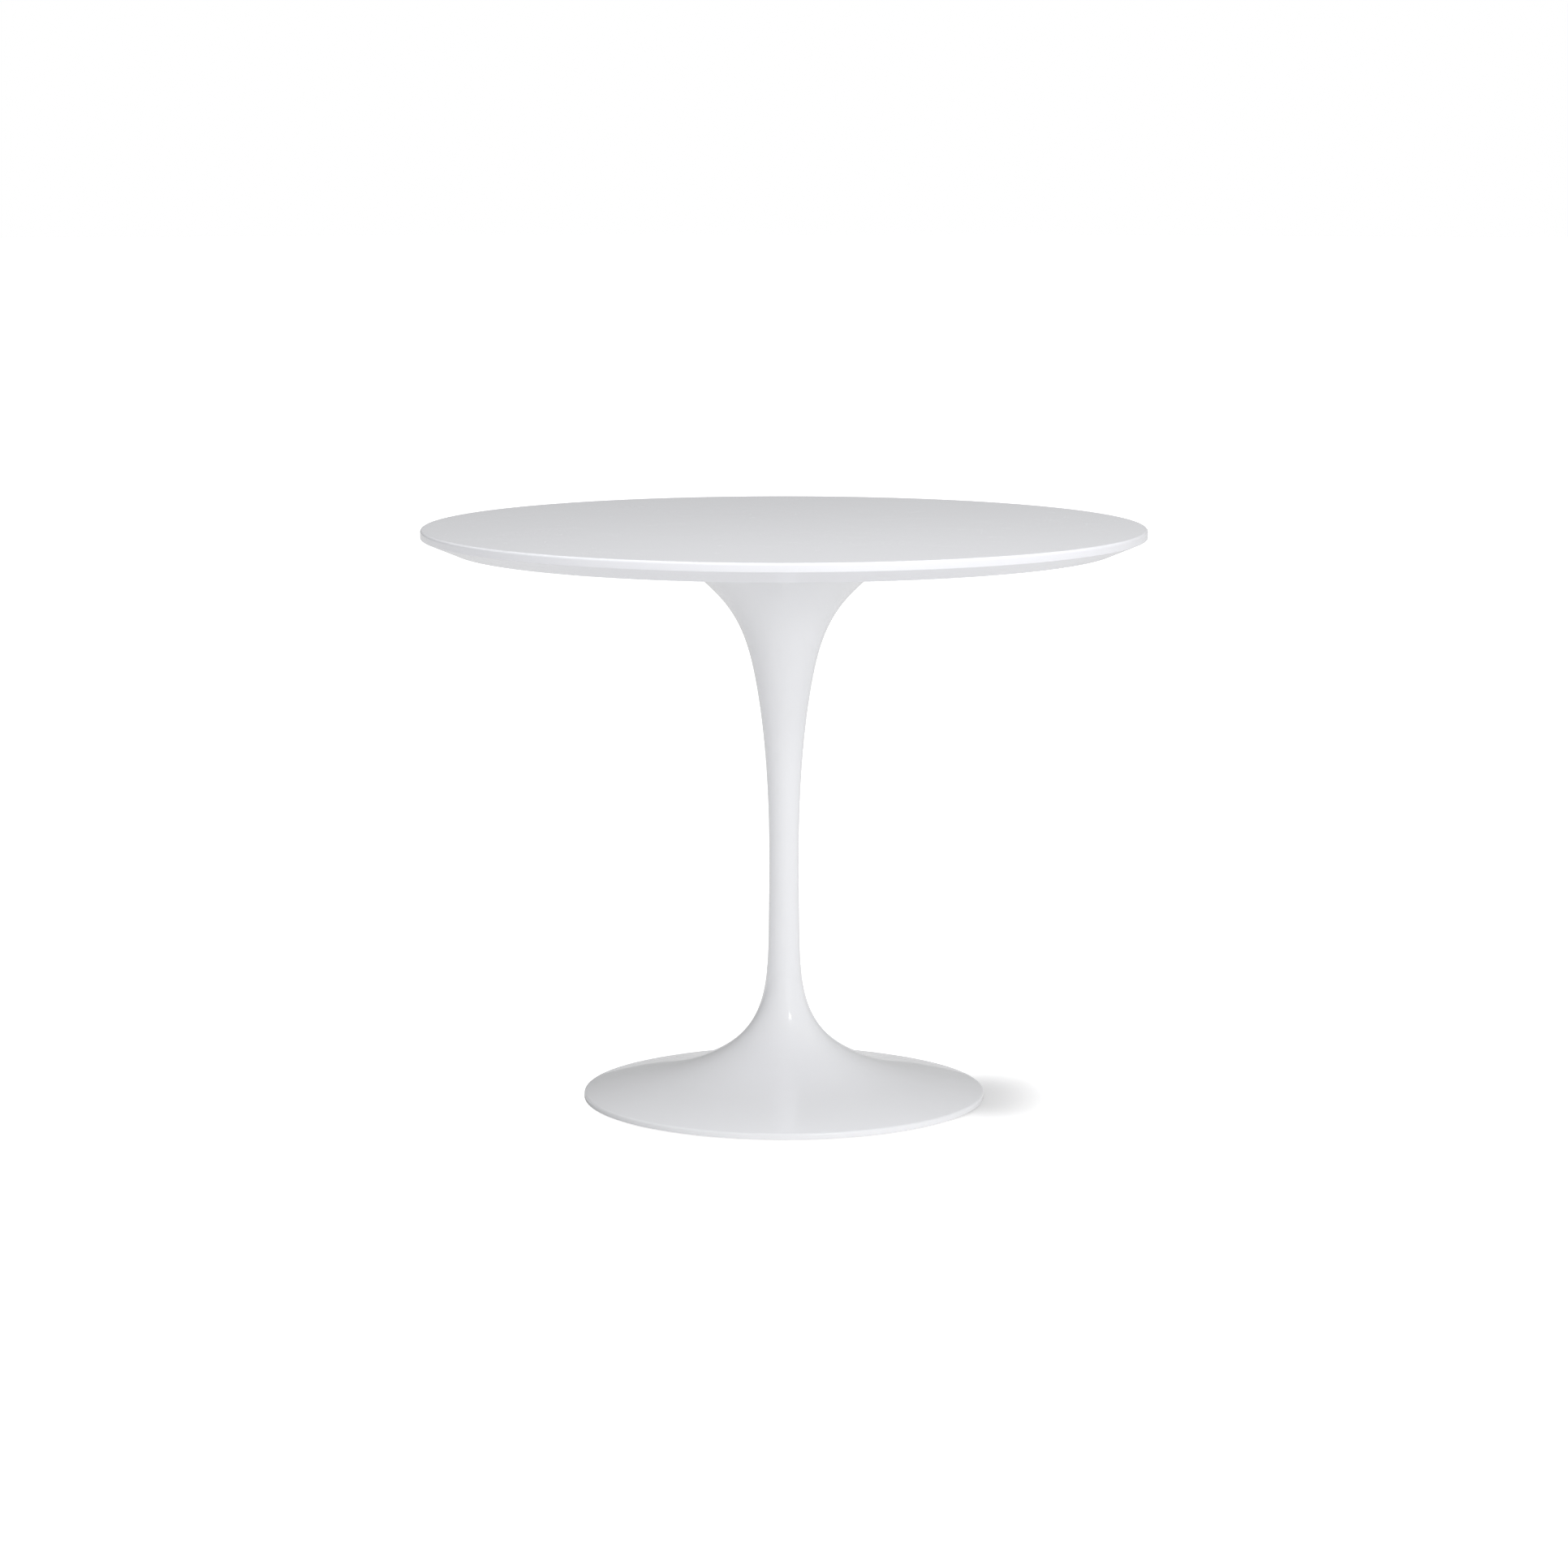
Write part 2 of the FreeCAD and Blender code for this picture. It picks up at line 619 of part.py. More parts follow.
def make_glide_pad(doc, number):
    """Nylon pad snapped over the screw's flange; it slides down without turning."""
    body = new_body(doc, f"glide_pad_{number + 1}")
    chamfer = cell("pad_chamfer")
    turn(body, "pad", [
        (cell("pad_key_hole_radius"), "0"),
        (f"{cell('pad_radius')} - {chamfer}", "0"),
        (cell("pad_radius"), chamfer),
        (cell("pad_radius"), f"{cell('pad_height')} - {chamfer}"),
        (f"{cell('pad_radius')} - {chamfer}", cell("pad_height")),
        (cell("glide_thread"), cell("pad_height")),
        (cell("glide_thread"), cell("pad_cavity_top")),
        (cell("pad_cavity_radius"), cell("pad_cavity_top")),
        (cell("pad_cavity_radius"), cell("pad_cavity_bottom")),
        (cell("pad_key_hole_radius"), cell("pad_cavity_bottom")),
    ])
    put_round(body, number)
    return body


def make_table(doc):
    """Make every piece of the table and return the bodies."""
    coupling_bottom = f"{HUB_BOTTOM} - {cell('coupling_length')}"
    jam_nut_bottom = f"{coupling_bottom} - {cell('jam_nut_height')}"
    washer_bottom = f"{cell('web_bottom')} - {cell('clamp_washer_thickness')}"
    spring_bottom = f"{washer_bottom} - {cell('spring_washer_thickness')}"
    pieces = [
        make_tabletop(doc),
        make_top_inserts(doc),
        make_hub_plate(doc),
        make_hub_screws(doc),
        make_hub_washers(doc),
        make_ring(doc, "rod_coupling", cell("rod_thread"), cell("coupling_radius"),
                  coupling_bottom, HUB_BOTTOM),
        make_nut(doc, "rod_jam_nut", jam_nut_bottom, cell("jam_nut_height")),
        make_pedestal(doc),
        make_tie_rod(doc),
        make_ring(doc, "clamp_washer", cell("rod_hole_radius"), cell("clamp_washer_radius"),
                  washer_bottom, cell("web_bottom")),
        make_ring(doc, "spring_washer", cell("spring_washer_inner"), cell("spring_washer_outer"),
                  spring_bottom, washer_bottom, angle=cell("spring_washer_angle")),
        make_nut(doc, "clamp_nut", f"{spring_bottom} - {cell('nut_height')}", cell("nut_height")),
        make_ballast_plate(doc),
        make_ballast_screws(doc),
    ]
    for number in range(GLIDES):
        pieces.append(make_glide_screw(doc, number))
        pieces.append(make_glide_pad(doc, number))
    return pieces


def check(doc, pieces):
    """Stop on any failed object or bad shape."""
    for item in doc.Objects:
        if "Invalid" in item.State or "Error" in item.State:
            raise RuntimeError(f"{item.Name} failed: {item.State}")
    for piece in pieces:
        if piece.Shape.isNull() or not piece.Shape.isValid():
            raise RuntimeError(f"{piece.Label} has no valid shape")


def main():
    """Build the table and write one STEP file for each piece."""
    doc = FreeCAD.newDocument("PedestalTable")
    make_sheet(doc)
    pieces = make_table(doc)
    doc.recompute()
    check(doc, pieces)
    os.makedirs("parts", exist_ok=True)
    for piece in pieces:
        piece.Shape.exportStep(f"parts/{piece.Label}.step")
        print(f"{piece.Label}: {len(piece.Shape.Solids)} solid(s), {piece.Shape.Volume / 1000:.1f} cm3")


main()
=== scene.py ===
"""Looks of the round pedestal table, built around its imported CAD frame.

Lengths are metres in the frame's own axes: +Z is up, and the origin is on the floor, on the
pedestal's axis. Each sub-assembly is a class that holds its sizes as fields, builds its meshes
and dresses them. Every piece stands for a CAD node, in the same place and on the same body.
"""
import logging
import math
from dataclasses import dataclass, field
from enum import Enum
from typing import Callable, Iterable, Sequence

import bmesh
import bpy
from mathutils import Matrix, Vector
from mathutils.geometry import delaunay_2d_cdt


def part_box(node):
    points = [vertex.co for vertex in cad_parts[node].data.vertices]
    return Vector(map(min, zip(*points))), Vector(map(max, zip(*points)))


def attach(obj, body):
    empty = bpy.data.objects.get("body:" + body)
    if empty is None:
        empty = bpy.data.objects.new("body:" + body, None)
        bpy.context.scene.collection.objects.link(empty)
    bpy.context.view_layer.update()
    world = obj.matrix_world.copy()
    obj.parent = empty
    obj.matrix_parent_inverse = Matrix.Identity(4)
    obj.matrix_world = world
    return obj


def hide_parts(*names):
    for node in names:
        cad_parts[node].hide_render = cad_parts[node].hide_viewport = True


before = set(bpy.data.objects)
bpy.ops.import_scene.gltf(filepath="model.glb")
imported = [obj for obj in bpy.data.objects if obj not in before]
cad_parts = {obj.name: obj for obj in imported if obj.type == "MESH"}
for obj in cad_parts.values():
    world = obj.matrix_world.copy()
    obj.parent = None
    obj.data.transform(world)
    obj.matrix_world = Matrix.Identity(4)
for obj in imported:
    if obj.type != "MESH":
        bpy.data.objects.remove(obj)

MM = 0.001
TAU = 2 * math.pi
TINY = 1e-7
SHARP_ANGLE = math.radians(32)
ARC_STEPS = 5
CHAMFER_STEPS = 4
ROWS_PER_PITCH = 8
HOLE_STEPS = 32
SCREW_STEPS = 36
STUD_STEPS = 48
NUT_STEPS = 72
RING_STEPS = 96
PLATE_STEPS = 192
HALF_SIDE = TAU / 12
WHITE = (1.0, 1.0, 1.0, 1.0)
LACQUER_IOR = 1.5
SOCKET_LIP = 0.12
SPLINE_DEGREE = 3
TABLE_BODY = "table"

Point = tuple[float, float]
Corner = tuple[float, float, float]
Ring = list[bmesh.types.BMVert]
Colour = tuple[float, float, float]

log = logging.getLogger("pedestal_table")


class Slot(Enum):
    """The record's material slots."""

    TOP = "top_lacquer"
    PEDESTAL = "pedestal_coat"
    PLATE = "plate_coat"
    ZINC = "zinc_steel"
    SPRING = "spring_steel"
    BRASS = "insert_brass"
    NYLON = "glide_nylon"


class Effect(Enum):
    """Surface effects that materials share, each a node group."""

    RIPPLE = "lacquer_ripple"
    MARKS = "handling_marks"
    SCUFFS = "fine_scuffs"
    DUST = "settled_dust"
    GRAIN = "steel_grain"
    WEAR = "edge_wear"
    SKIN = "cast_skin"


@dataclass(frozen=True)
class Thread:
    """Outside thread: its crest radius, pitch and depth."""

    radius: float
    pitch: float
    depth: float

    def groove(self, angle: float, height: float) -> float:
        """Depth of the groove at an angle and a height."""
        phase = (height / self.pitch - angle / TAU) % 1.0
        return self.depth * (1.0 - abs(2.0 * phase - 1.0))


@dataclass(frozen=True)
class Row:
    """One level of a turned shape.

    It is round, or hexagonal where flats is the radius to its corners. It is threaded where cut
    is set.
    """

    radius: float
    height: float
    flats: float = 0.0
    cut: float = 0.0

    def reach(self, angle: float, thread: Thread | None) -> float:
        """Work out the radius at an angle.

        Args:
            angle: angle from the shape's first corner.
            thread: thread to cut, as deep as the row says.

        Returns:
            The distance from the shape's axis.
        """
        radius = self.radius
        if self.flats:
            off_middle = angle % (2 * HALF_SIDE) - HALF_SIDE
            radius = min(radius, self.flats * math.cos(HALF_SIDE) / math.cos(off_middle))
        if thread and self.cut:
            radius -= self.cut * thread.groove(angle, self.height)
        return radius


def rounded(corners: Sequence[Corner]) -> list[Row]:
    """Round the corners of an open outline.

    Args:
        corners: radius, height and rounding of each corner, from one end to the other.

    Returns:
        The outline's rows, with an arc and a point on each side of it in place of each corner.
    """
    rows = [Row(corners[0][0], corners[0][1])]
    for before, corner, after in zip(corners, corners[1:], corners[2:]):
        here, size = Vector(corner[:2]), corner[2]
        if size <= 0:
            rows.append(Row(here.x, here.y))
            continue
        back, ahead = Vector(before[:2]) - here, Vector(after[:2]) - here
        half = back.angle(ahead) / 2
        cut = size / math.tan(half)
        inwards = (back.normalized() + ahead.normalized()).normalized()
        middle = here + inwards * size / math.sin(half)
        arm = here + back.normalized() * cut - middle
        last = here + ahead.normalized() * cut - middle
        side = math.copysign(math.pi - 2 * half, arm.x * last.y - arm.y * last.x)
        if back.length > cut + size:
            lead = here + back.normalized() * (cut + size / 2)
            rows.append(Row(lead.x, lead.y))
        for step in range(ARC_STEPS + 1):
            turn = side * step / ARC_STEPS
            rows.append(Row(
                middle.x + arm.x * math.cos(turn) - arm.y * math.sin(turn),
                middle.y + arm.x * math.sin(turn) + arm.y * math.cos(turn),
            ))
        if ahead.length > cut + size:
            trail = here + ahead.normalized() * (cut + size / 2)
            rows.append(Row(trail.x, trail.y))
    rows.append(Row(corners[-1][0], corners[-1][1]))
    return rows


def threaded(thread: Thread, start: float, end: float) -> list[Row]:
    """Make the rows of a thread that runs out over one pitch at each end.

    Args:
        thread: the thread to cut.
        start: height of its first end.
        end: height of its other end.

    Returns:
        The rows from start to end.
    """
    count = max(2, round(abs(end - start) / thread.pitch * ROWS_PER_PITCH))
    rows = []
    for index in range(count + 1):
        height = start + (end - start) * index / count
        run_out = min(index, count - index) / ROWS_PER_PITCH
        rows.append(Row(thread.radius, height, cut=min(1.0, run_out)))
    return rows


def hex_socket(corner_radius: float, floor: float, mouth: float) -> list[Row]:
    """Make the rows of a hexagon socket, from the middle of its floor to its countersunk mouth.

    Args:
        corner_radius: radius to the hexagon's corners.
        floor: height of the socket's floor.
        mouth: height of its mouth.

    Returns:
        The rows.
    """
    lip = corner_radius * SOCKET_LIP
    inwards = math.copysign(lip, floor - mouth)
    return [
        Row(0.0, floor),
        Row(corner_radius, floor, flats=corner_radius),
        Row(corner_radius, mouth + inwards, flats=corner_radius),
        Row(corner_radius + lip, mouth),
    ]


def around(count: int, radius: float, start: float = 0.0) -> list[Point]:
    """Places evenly round the table's axis."""
    angles = [start + TAU * index / count for index in range(count)]
    return [(radius * math.cos(angle), radius * math.sin(angle)) for angle in angles]


def curve_point(poles: Sequence[Point], place: float) -> Point:
    """Find a point of a clamped uniform cubic curve by de Boor's steps.

    Args:
        poles: the curve's control points.
        place: where along the curve, from 0 to the number of spans.

    Returns:
        The point.
    """
    spans = len(poles) - SPLINE_DEGREE
    knots = [0] * SPLINE_DEGREE + list(range(spans + 1)) + [spans] * SPLINE_DEGREE
    first = min(int(place), spans - 1)
    order = SPLINE_DEGREE + 1
    points = [Vector(pole) for pole in poles[first:first + order]]
    for level in range(1, order):
        for index in range(SPLINE_DEGREE, level - 1, -1):
            low, high = knots[first + index], knots[first + index + order - level]
            share = (place - low) / (high - low)
            points[index] = points[index - 1].lerp(points[index], share)
    return tuple(points[-1])


def sample_curve(poles: Sequence[Point], steps: int) -> list[Point]:
    """Points along a curve, with a number of steps for each span."""
    total = (len(poles) - SPLINE_DEGREE) * steps
    return [curve_point(poles, index / steps) for index in range(total + 1)]


def height_at(curve: Sequence[Point], radius: float) -> float:
    """Find where the foot's stretch of a curve passes a radius.

    Args:
        curve: points from the foot's rim upwards.
        radius: the radius to look for.

    Returns:
        The height there, or that of the curve's first point beyond its end.
    """
    for (outer, low), (inner, high) in zip(curve, curve[1:]):
        if inner <= radius <= outer:
            share = (outer - radius) / max(outer - inner, TINY)
            return low + (high - low) * share
    return curve[0][1]


def radius_at(curve: Sequence[Point], height: float) -> float:
    """Find a curve's radius at a height.

    Args:
        curve: points from the foot's rim upwards.
        height: the height to look for.

    Returns:
        The radius there.
    """
    for (first, low), (second, high) in zip(curve, curve[1:]):
        if low <= height <= high:
            return first + (second - first) * (height - low) / max(high - low, TINY)
    return curve[-1][0]


class Shell:
    """A mesh in the making."""

    def __init__(self) -> None:
        """Start an empty mesh."""
        self.mesh = bmesh.new()

    def ring(self, points: Iterable[Sequence[float]]) -> Ring:
        """Add a ring of points."""
        return [self.mesh.verts.new(point) for point in points]

    def skin(self, first: Ring, second: Ring, coat: int = 0, closed: bool = True) -> None:
        """Join two rings with faces.

        Args:
            first: one ring, or a single point.
            second: the other ring, with as many points, or a single point.
            coat: index of the faces' material.
            closed: whether the rings go all the way round.
        """
        count = max(len(first), len(second))
        for index in range(count if closed else count - 1):
            after = (index + 1) % count
            if len(first) == 1:
                corners = [first[0], second[after], second[index]]
            elif len(second) == 1:
                corners = [first[index], first[after], second[0]]
            else:
                corners = [first[index], first[after], second[after], second[index]]
            self.mesh.faces.new(corners).material_index = coat

    def lathe(
        self,
        rows: Sequence[Row],
        segments: int,
        spot: Point = (0.0, 0.0),
        turned: float = 0.0,
        thread: Thread | None = None,
        coat: int = 0,
        closed: bool = False,
    ) -> list[Ring]:
        """Turn an outline about an upright axis.

        Args:
            rows: the outline; a row with no radius is a point on the axis.
            segments: how many steps go round.
            spot: where the axis stands.
            turned: angle of the first step.
            thread: thread to cut in rows that ask for it.
            coat: index of the faces' material.
            closed: whether the last row joins the first.

        Returns:
            The rings made, one for each row.
        """
        rings = []
        for row in rows:
            if row.radius < TINY:
                rings.append(self.ring([(*spot, row.height)]))
                continue
            points = []
            for index in range(segments):
                angle = TAU * index / segments
                reach = row.reach(angle, thread)
                across = spot[0] + reach * math.cos(angle + turned)
                along = spot[1] + reach * math.sin(angle + turned)
                points.append((across, along, row.height))
            rings.append(self.ring(points))
        for first, second in zip(rings, rings[1:]):
            self.skin(first, second, coat)
        if closed:
            self.skin(rings[-1], rings[0], coat)
        return rings

    def fill(self, outline: Ring, openings: Sequence[Ring] = (), coat: int = 0) -> None:
        """Fill a level outline, leaving round openings free.

        Args:
            outline: ring of the outer edge.
            openings: rings of the holes.
            coat: index of the faces' material.
        """
        rings = [outline, *openings]
        verts = [vert for ring in rings for vert in ring]
        edges, start = [], 0
        for ring in rings:
            count = len(ring)
            edges += [(start + index, start + (index + 1) % count) for index in range(count)]
            start += count
        flat = [vert.co.to_2d() for vert in verts]
        made = delaunay_2d_cdt(flat, edges, [], 1, TINY)
        centres = [sum((vert.co for vert in ring), Vector()) / len(ring) for ring in openings]
        reaches = [(ring[0].co - centre).length for ring, centre in zip(openings, centres)]
        for triangle in made[2]:
            corners = [verts[made[3][index][0]] for index in triangle]
            middle = sum((vert.co for vert in corners), Vector()) / 3
            if all((middle - spot).length > reach for spot, reach in zip(centres, reaches)):
                self.mesh.faces.new(corners).material_index = coat

    def sweep(self, sections: Sequence[Sequence[Sequence[float]]], coat: int = 0) -> None:
        """Skin a run of equal sections and close both its ends.

        Args:
            sections: the sections' points.
            coat: index of the faces' material.
        """
        rings = [self.ring(section) for section in sections]
        for first, second in zip(rings, rings[1:]):
            self.skin(first, second, coat)
        for end in (rings[0], rings[-1]):
            self.mesh.faces.new(end).material_index = coat

    def piece(
        self,
        name: str,
        node: str,
        materials: Sequence[bpy.types.Material],
        body: str = TABLE_BODY,
    ) -> bpy.types.Object:
        """Finish the mesh as a piece that stands for a CAD node.

        Args:
            name: the piece's name.
            node: the CAD node it stands for.
            materials: its materials, in the order of the coats.
            body: the CAD body it rides on.

        Returns:
            The new object.
        """
        bmesh.ops.recalc_face_normals(self.mesh, faces=self.mesh.faces)
        data = bpy.data.meshes.new(name)
        self.mesh.to_mesh(data)
        self.mesh.free()
        data.polygons.foreach_set("use_smooth", [True] * len(data.polygons))
        data.set_sharp_from_angle(angle=SHARP_ANGLE)
        for material in materials:
            data.materials.append(material)
        made = bpy.data.objects.new(name, data)
        bpy.context.scene.collection.objects.link(made)
        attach(made, body)
        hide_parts(node)
        log.info("%s stands for %s: %d faces", name, node, len(data.polygons))
        return made


class Graph:
    """Short calls for building a node tree."""

    def __init__(self, tree: bpy.types.NodeTree) -> None:
        """Work on a tree."""
        self.tree = tree

    def node(self, kind: str, feeds: dict | None = None, **settings: object) -> bpy.types.Node:
        """Add a node.

        Args:
            kind: its Blender type.
            feeds: what goes into its sockets, by their names: values or other nodes' outputs.
            settings: its own properties.

        Returns:
            The node.
        """
        node = self.tree.nodes.new(kind)
        for name, value in settings.items():
            setattr(node, name, value)
        for name, source in (feeds or {}).items():
            self.feed(node.inputs[name], source)
        return node

    def feed(self, socket: bpy.types.NodeSocket, source: object) -> None:
        """Link an output to a socket, or set the socket's value.

        Args:
            socket: the input.
            source: another node's output, or a value.
        """
        if isinstance(source, bpy.types.NodeSocket):
            self.tree.links.new(source, socket)
        else:
            socket.default_value = source

    def maths(self, operation: str, *values: object, clamp: bool = False) -> bpy.types.NodeSocket:
        """Add a Math node.

        Args:
            operation: its operation.
            values: what goes into it, in order.
            clamp: whether the result is kept from 0 to 1.

        Returns:
            Its output.
        """
        node = self.node("ShaderNodeMath", {index: value for index, value in enumerate(values)},
                         operation=operation, use_clamp=clamp)
        return node.outputs[0]

    def scale(self, vector: object, factors: Sequence[float]) -> bpy.types.NodeSocket:
        """Stretch a vector by factors along X, Y and Z."""
        feeds = {0: vector, 1: tuple(factors)}
        return self.node("ShaderNodeVectorMath", feeds, operation="MULTIPLY").outputs[0]

    def remap(self, value: object, low: float, high: float, to_low: object, to_high: object,
              smooth: bool = False) -> bpy.types.NodeSocket:
        """Stretch a range of values to another.

        Args:
            value: the value to map.
            low: start of its range.
            high: end of its range.
            to_low: what the start becomes.
            to_high: what the end becomes.
            smooth: whether the ends are eased.

        Returns:
            The mapped value, kept in its new range.
        """
        feeds = {"Value": value, "From Min": low, "From Max": high,
                 "To Min": to_low, "To Max": to_high}
        kind = "SMOOTHSTEP" if smooth else "LINEAR"
        return self.node("ShaderNodeMapRange", feeds, interpolation_type=kind).outputs[0]

    def noise(self, vector: object, scale: object, detail: float = 2.0,
              roughness: float = 0.5) -> bpy.types.NodeSocket:
        """Noise from 0 to 1 at a scale of cells to the metre."""
        feeds = {"Vector": vector, "Scale": scale, "Detail": detail, "Roughness": roughness}
        return self.node("ShaderNodeTexNoise", feeds).outputs[0]

    def blend(self, share: object, first: object, second: object) -> bpy.types.NodeSocket:
        """Mix two colours.

        Args:
            share: how much of the second shows.
            first: one colour.
            second: the other.

        Returns:
            The mixed colour.
        """
        node = self.node("ShaderNodeMix", data_type="RGBA")
        self.feed(node.inputs[0], share)
        self.feed(node.inputs[6], first)
        self.feed(node.inputs[7], second)
        return node.outputs[2]

    def bump(self, shader: bpy.types.Node, height: object, strength: float, depth: float) -> None:
        """Bump a shader's surface.

        Args:
            shader: the shader.
            height: height of the relief, from 0 to 1.
            strength: how strongly it shows.
            depth: how deep it is.
        """
        feeds = {"Height": height, "Strength": strength, "Distance": depth}
        relief = self.node("ShaderNodeBump", feeds)
        self.feed(shader.inputs["Normal"], relief.outputs[0])

    def place(self) -> bpy.types.NodeSocket:
        """The shaded point in the piece's own frame, in metres."""
        return self.node("ShaderNodeTexCoord").outputs["Object"]


class Effects:
    """The shared node groups, each built when a material first needs it.

    Pairs of numbers are the stretch of a noise, a slope or a pointiness over which an effect
    comes in. Sizes are ratios of a coarse cell to a fine one.
    """

    swell_size = 14.0
    handled_patch = (0.42, 0.66)
    handled_streak = (0.35, 0.7)
    scuffed_zone = (0.6, 0.68)
    dusty_slope = (0.35, 0.95)
    dust_speck = (0.48, 0.68)
    dust_drift = (0.35, 0.7)
    drift_scale = 7.0
    sharp_edge = (0.515, 0.58)
    rubbed_spots = (0.4, 0.62)
    flow_size = 9.0
    pit_share = 0.35

    def __init__(self) -> None:
        """Start with no group made."""
        self.made: dict[Effect, bpy.types.NodeTree] = {}
        self.makers: dict[Effect, Callable[[bpy.types.NodeTree], None]] = {
            Effect.RIPPLE: self.ripple,
            Effect.MARKS: self.marks,
            Effect.SCUFFS: self.scuffs,
            Effect.DUST: self.dust,
            Effect.GRAIN: self.grain,
            Effect.WEAR: self.wear,
            Effect.SKIN: self.skin,
        }

    def use(self, graph: Graph, effect: Effect, **values: float) -> bpy.types.NodeOutputs:
        """Place an effect in a material.

        Args:
            graph: the material's graph.
            effect: which effect.
            values: its inputs, by their names with underscores for spaces.

        Returns:
            The outputs of the group's node.
        """
        if effect not in self.made:
            tree = bpy.data.node_groups.new(effect.value, "ShaderNodeTree")
            self.makers[effect](tree)
            self.made[effect] = tree
        node = graph.node("ShaderNodeGroup", node_tree=self.made[effect])
        for name, value in values.items():
            node.inputs[name.replace("_", " ")].default_value = value
        return node.outputs

    @staticmethod
    def sockets(tree: bpy.types.NodeTree, given: Sequence[str], made: Sequence[str]) -> tuple:
        """Name a group's inputs and outputs.

        Args:
            tree: the group.
            given: names of its inputs.
            made: names of its outputs.

        Returns:
            Its graph, the sockets that bring the inputs, and those that take the outputs.
        """
        for direction, names in (("INPUT", given), ("OUTPUT", made)):
            for name in names:
                tree.interface.new_socket(name, in_out=direction, socket_type="NodeSocketFloat")
        graph = Graph(tree)
        return graph, graph.node("NodeGroupInput").outputs, graph.node("NodeGroupOutput").inputs

    def ripple(self, tree: bpy.types.NodeTree) -> None:
        """Build a sprayed lacquer's fine orange peel over a slow swell.

        Args:
            tree: the empty group to fill.
        """
        graph, given, made = self.sockets(tree, ["Scale", "Swell"], ["Height"])
        place = graph.place()
        peel = graph.noise(place, given["Scale"], 1.5)
        swell = graph.noise(place, graph.maths("DIVIDE", given["Scale"], self.swell_size), 1.0)
        graph.feed(made["Height"], graph.maths("MULTIPLY_ADD", swell, given["Swell"], peel))

    def marks(self, tree: bpy.types.NodeTree) -> None:
        """Build patches where the surface has been wiped or handled.

        Args:
            tree: the empty group to fill.
        """
        graph, given, made = self.sockets(tree, ["Scale", "Cover"], ["Mask"])
        place = graph.place()
        patch = graph.noise(place, given["Scale"], 3.0, 0.55)
        streaks = graph.noise(graph.scale(place, (1.0, 3.5, 1.7)),
                              graph.maths("MULTIPLY", given["Scale"], 5.0), 4.0, 0.6)
        wide = graph.remap(patch, *self.handled_patch, 0.0, 1.0, smooth=True)
        fine = graph.remap(streaks, *self.handled_streak, self.handled_streak[0], 1.0)
        both = graph.maths("MULTIPLY", wide, fine)
        graph.feed(made["Mask"], graph.maths("MULTIPLY", both, given["Cover"], clamp=True))

    def scuffs(self, tree: bpy.types.NodeTree) -> None:
        """Build sparse hair scratches in two directions.

        Args:
            tree: the empty group to fill.
        """
        graph, given, made = self.sockets(tree, ["Scale", "Width"], ["Mask"])
        place = graph.place()
        total = None
        for stretch in ((1.0, 9.0, 4.0), (8.0, 1.2, 3.0)):
            bend = graph.noise(graph.scale(place, stretch), given["Scale"], 2.0)
            off = graph.maths("ABSOLUTE", graph.maths("SUBTRACT", bend, 0.5))
            line = graph.maths("LESS_THAN", off, given["Width"])
            zone_scale = graph.maths("MULTIPLY", given["Scale"], 1.6 + stretch[0] / 4)
            rare = graph.remap(graph.noise(place, zone_scale), *self.scuffed_zone, 0.0, 1.0)
            scratch = graph.maths("MULTIPLY", line, rare)
            total = scratch if total is None else graph.maths("MAXIMUM", total, scratch)
        graph.feed(made["Mask"], total)

    def dust(self, tree: bpy.types.NodeTree) -> None:
        """Build fine dust on faces that look up.

        Args:
            tree: the empty group to fill.
        """
        graph, given, made = self.sockets(tree, ["Scale", "Amount"], ["Mask"])
        normal = graph.node("ShaderNodeNewGeometry").outputs["Normal"]
        up = graph.node("ShaderNodeSeparateXYZ", {0: normal}).outputs[2]
        level = graph.remap(up, *self.dusty_slope, 0.0, 1.0, smooth=True)
        place = graph.place()
        grain = graph.noise(place, given["Scale"], 4.0, 0.7)
        specks = graph.remap(grain, *self.dust_speck, 0.1, 1.0)
        drift = graph.remap(graph.noise(place, self.drift_scale, 2.0), *self.dust_drift, 0.4, 1.0)
        mask = graph.maths("MULTIPLY", graph.maths("MULTIPLY", level, specks), drift)
        graph.feed(made["Mask"], graph.maths("MULTIPLY", mask, given["Amount"], clamp=True))

    def grain(self, tree: bpy.types.NodeTree) -> None:
        """Build lines left by turning, with a coarser mottle under them.

        Args:
            tree: the empty group to fill.
        """
        graph, given, made = self.sockets(tree, ["Scale", "Mottle"], ["Lines", "Patches"])
        place = graph.place()
        lines = graph.noise(graph.scale(place, (0.25, 0.25, 3.0)), given["Scale"], 3.0, 0.6)
        patches = graph.noise(place, given["Mottle"], 3.0, 0.6)
        graph.feed(made["Lines"], lines)
        graph.feed(made["Patches"], patches)

    def wear(self, tree: bpy.types.NodeTree) -> None:
        """Build rubbed outer edges, broken up by noise.

        Args:
            tree: the empty group to fill.
        """
        graph, given, made = self.sockets(tree, ["Scale", "Amount"], ["Mask"])
        edge = graph.node("ShaderNodeNewGeometry").outputs["Pointiness"]
        sharp = graph.remap(edge, *self.sharp_edge, 0.0, 1.0, smooth=True)
        spots = graph.noise(graph.place(), given["Scale"], 3.0, 0.65)
        broken = graph.remap(spots, *self.rubbed_spots, 0.0, 1.0)
        mask = graph.maths("MULTIPLY", sharp, broken)
        graph.feed(made["Mask"], graph.maths("MULTIPLY", mask, given["Amount"], clamp=True))

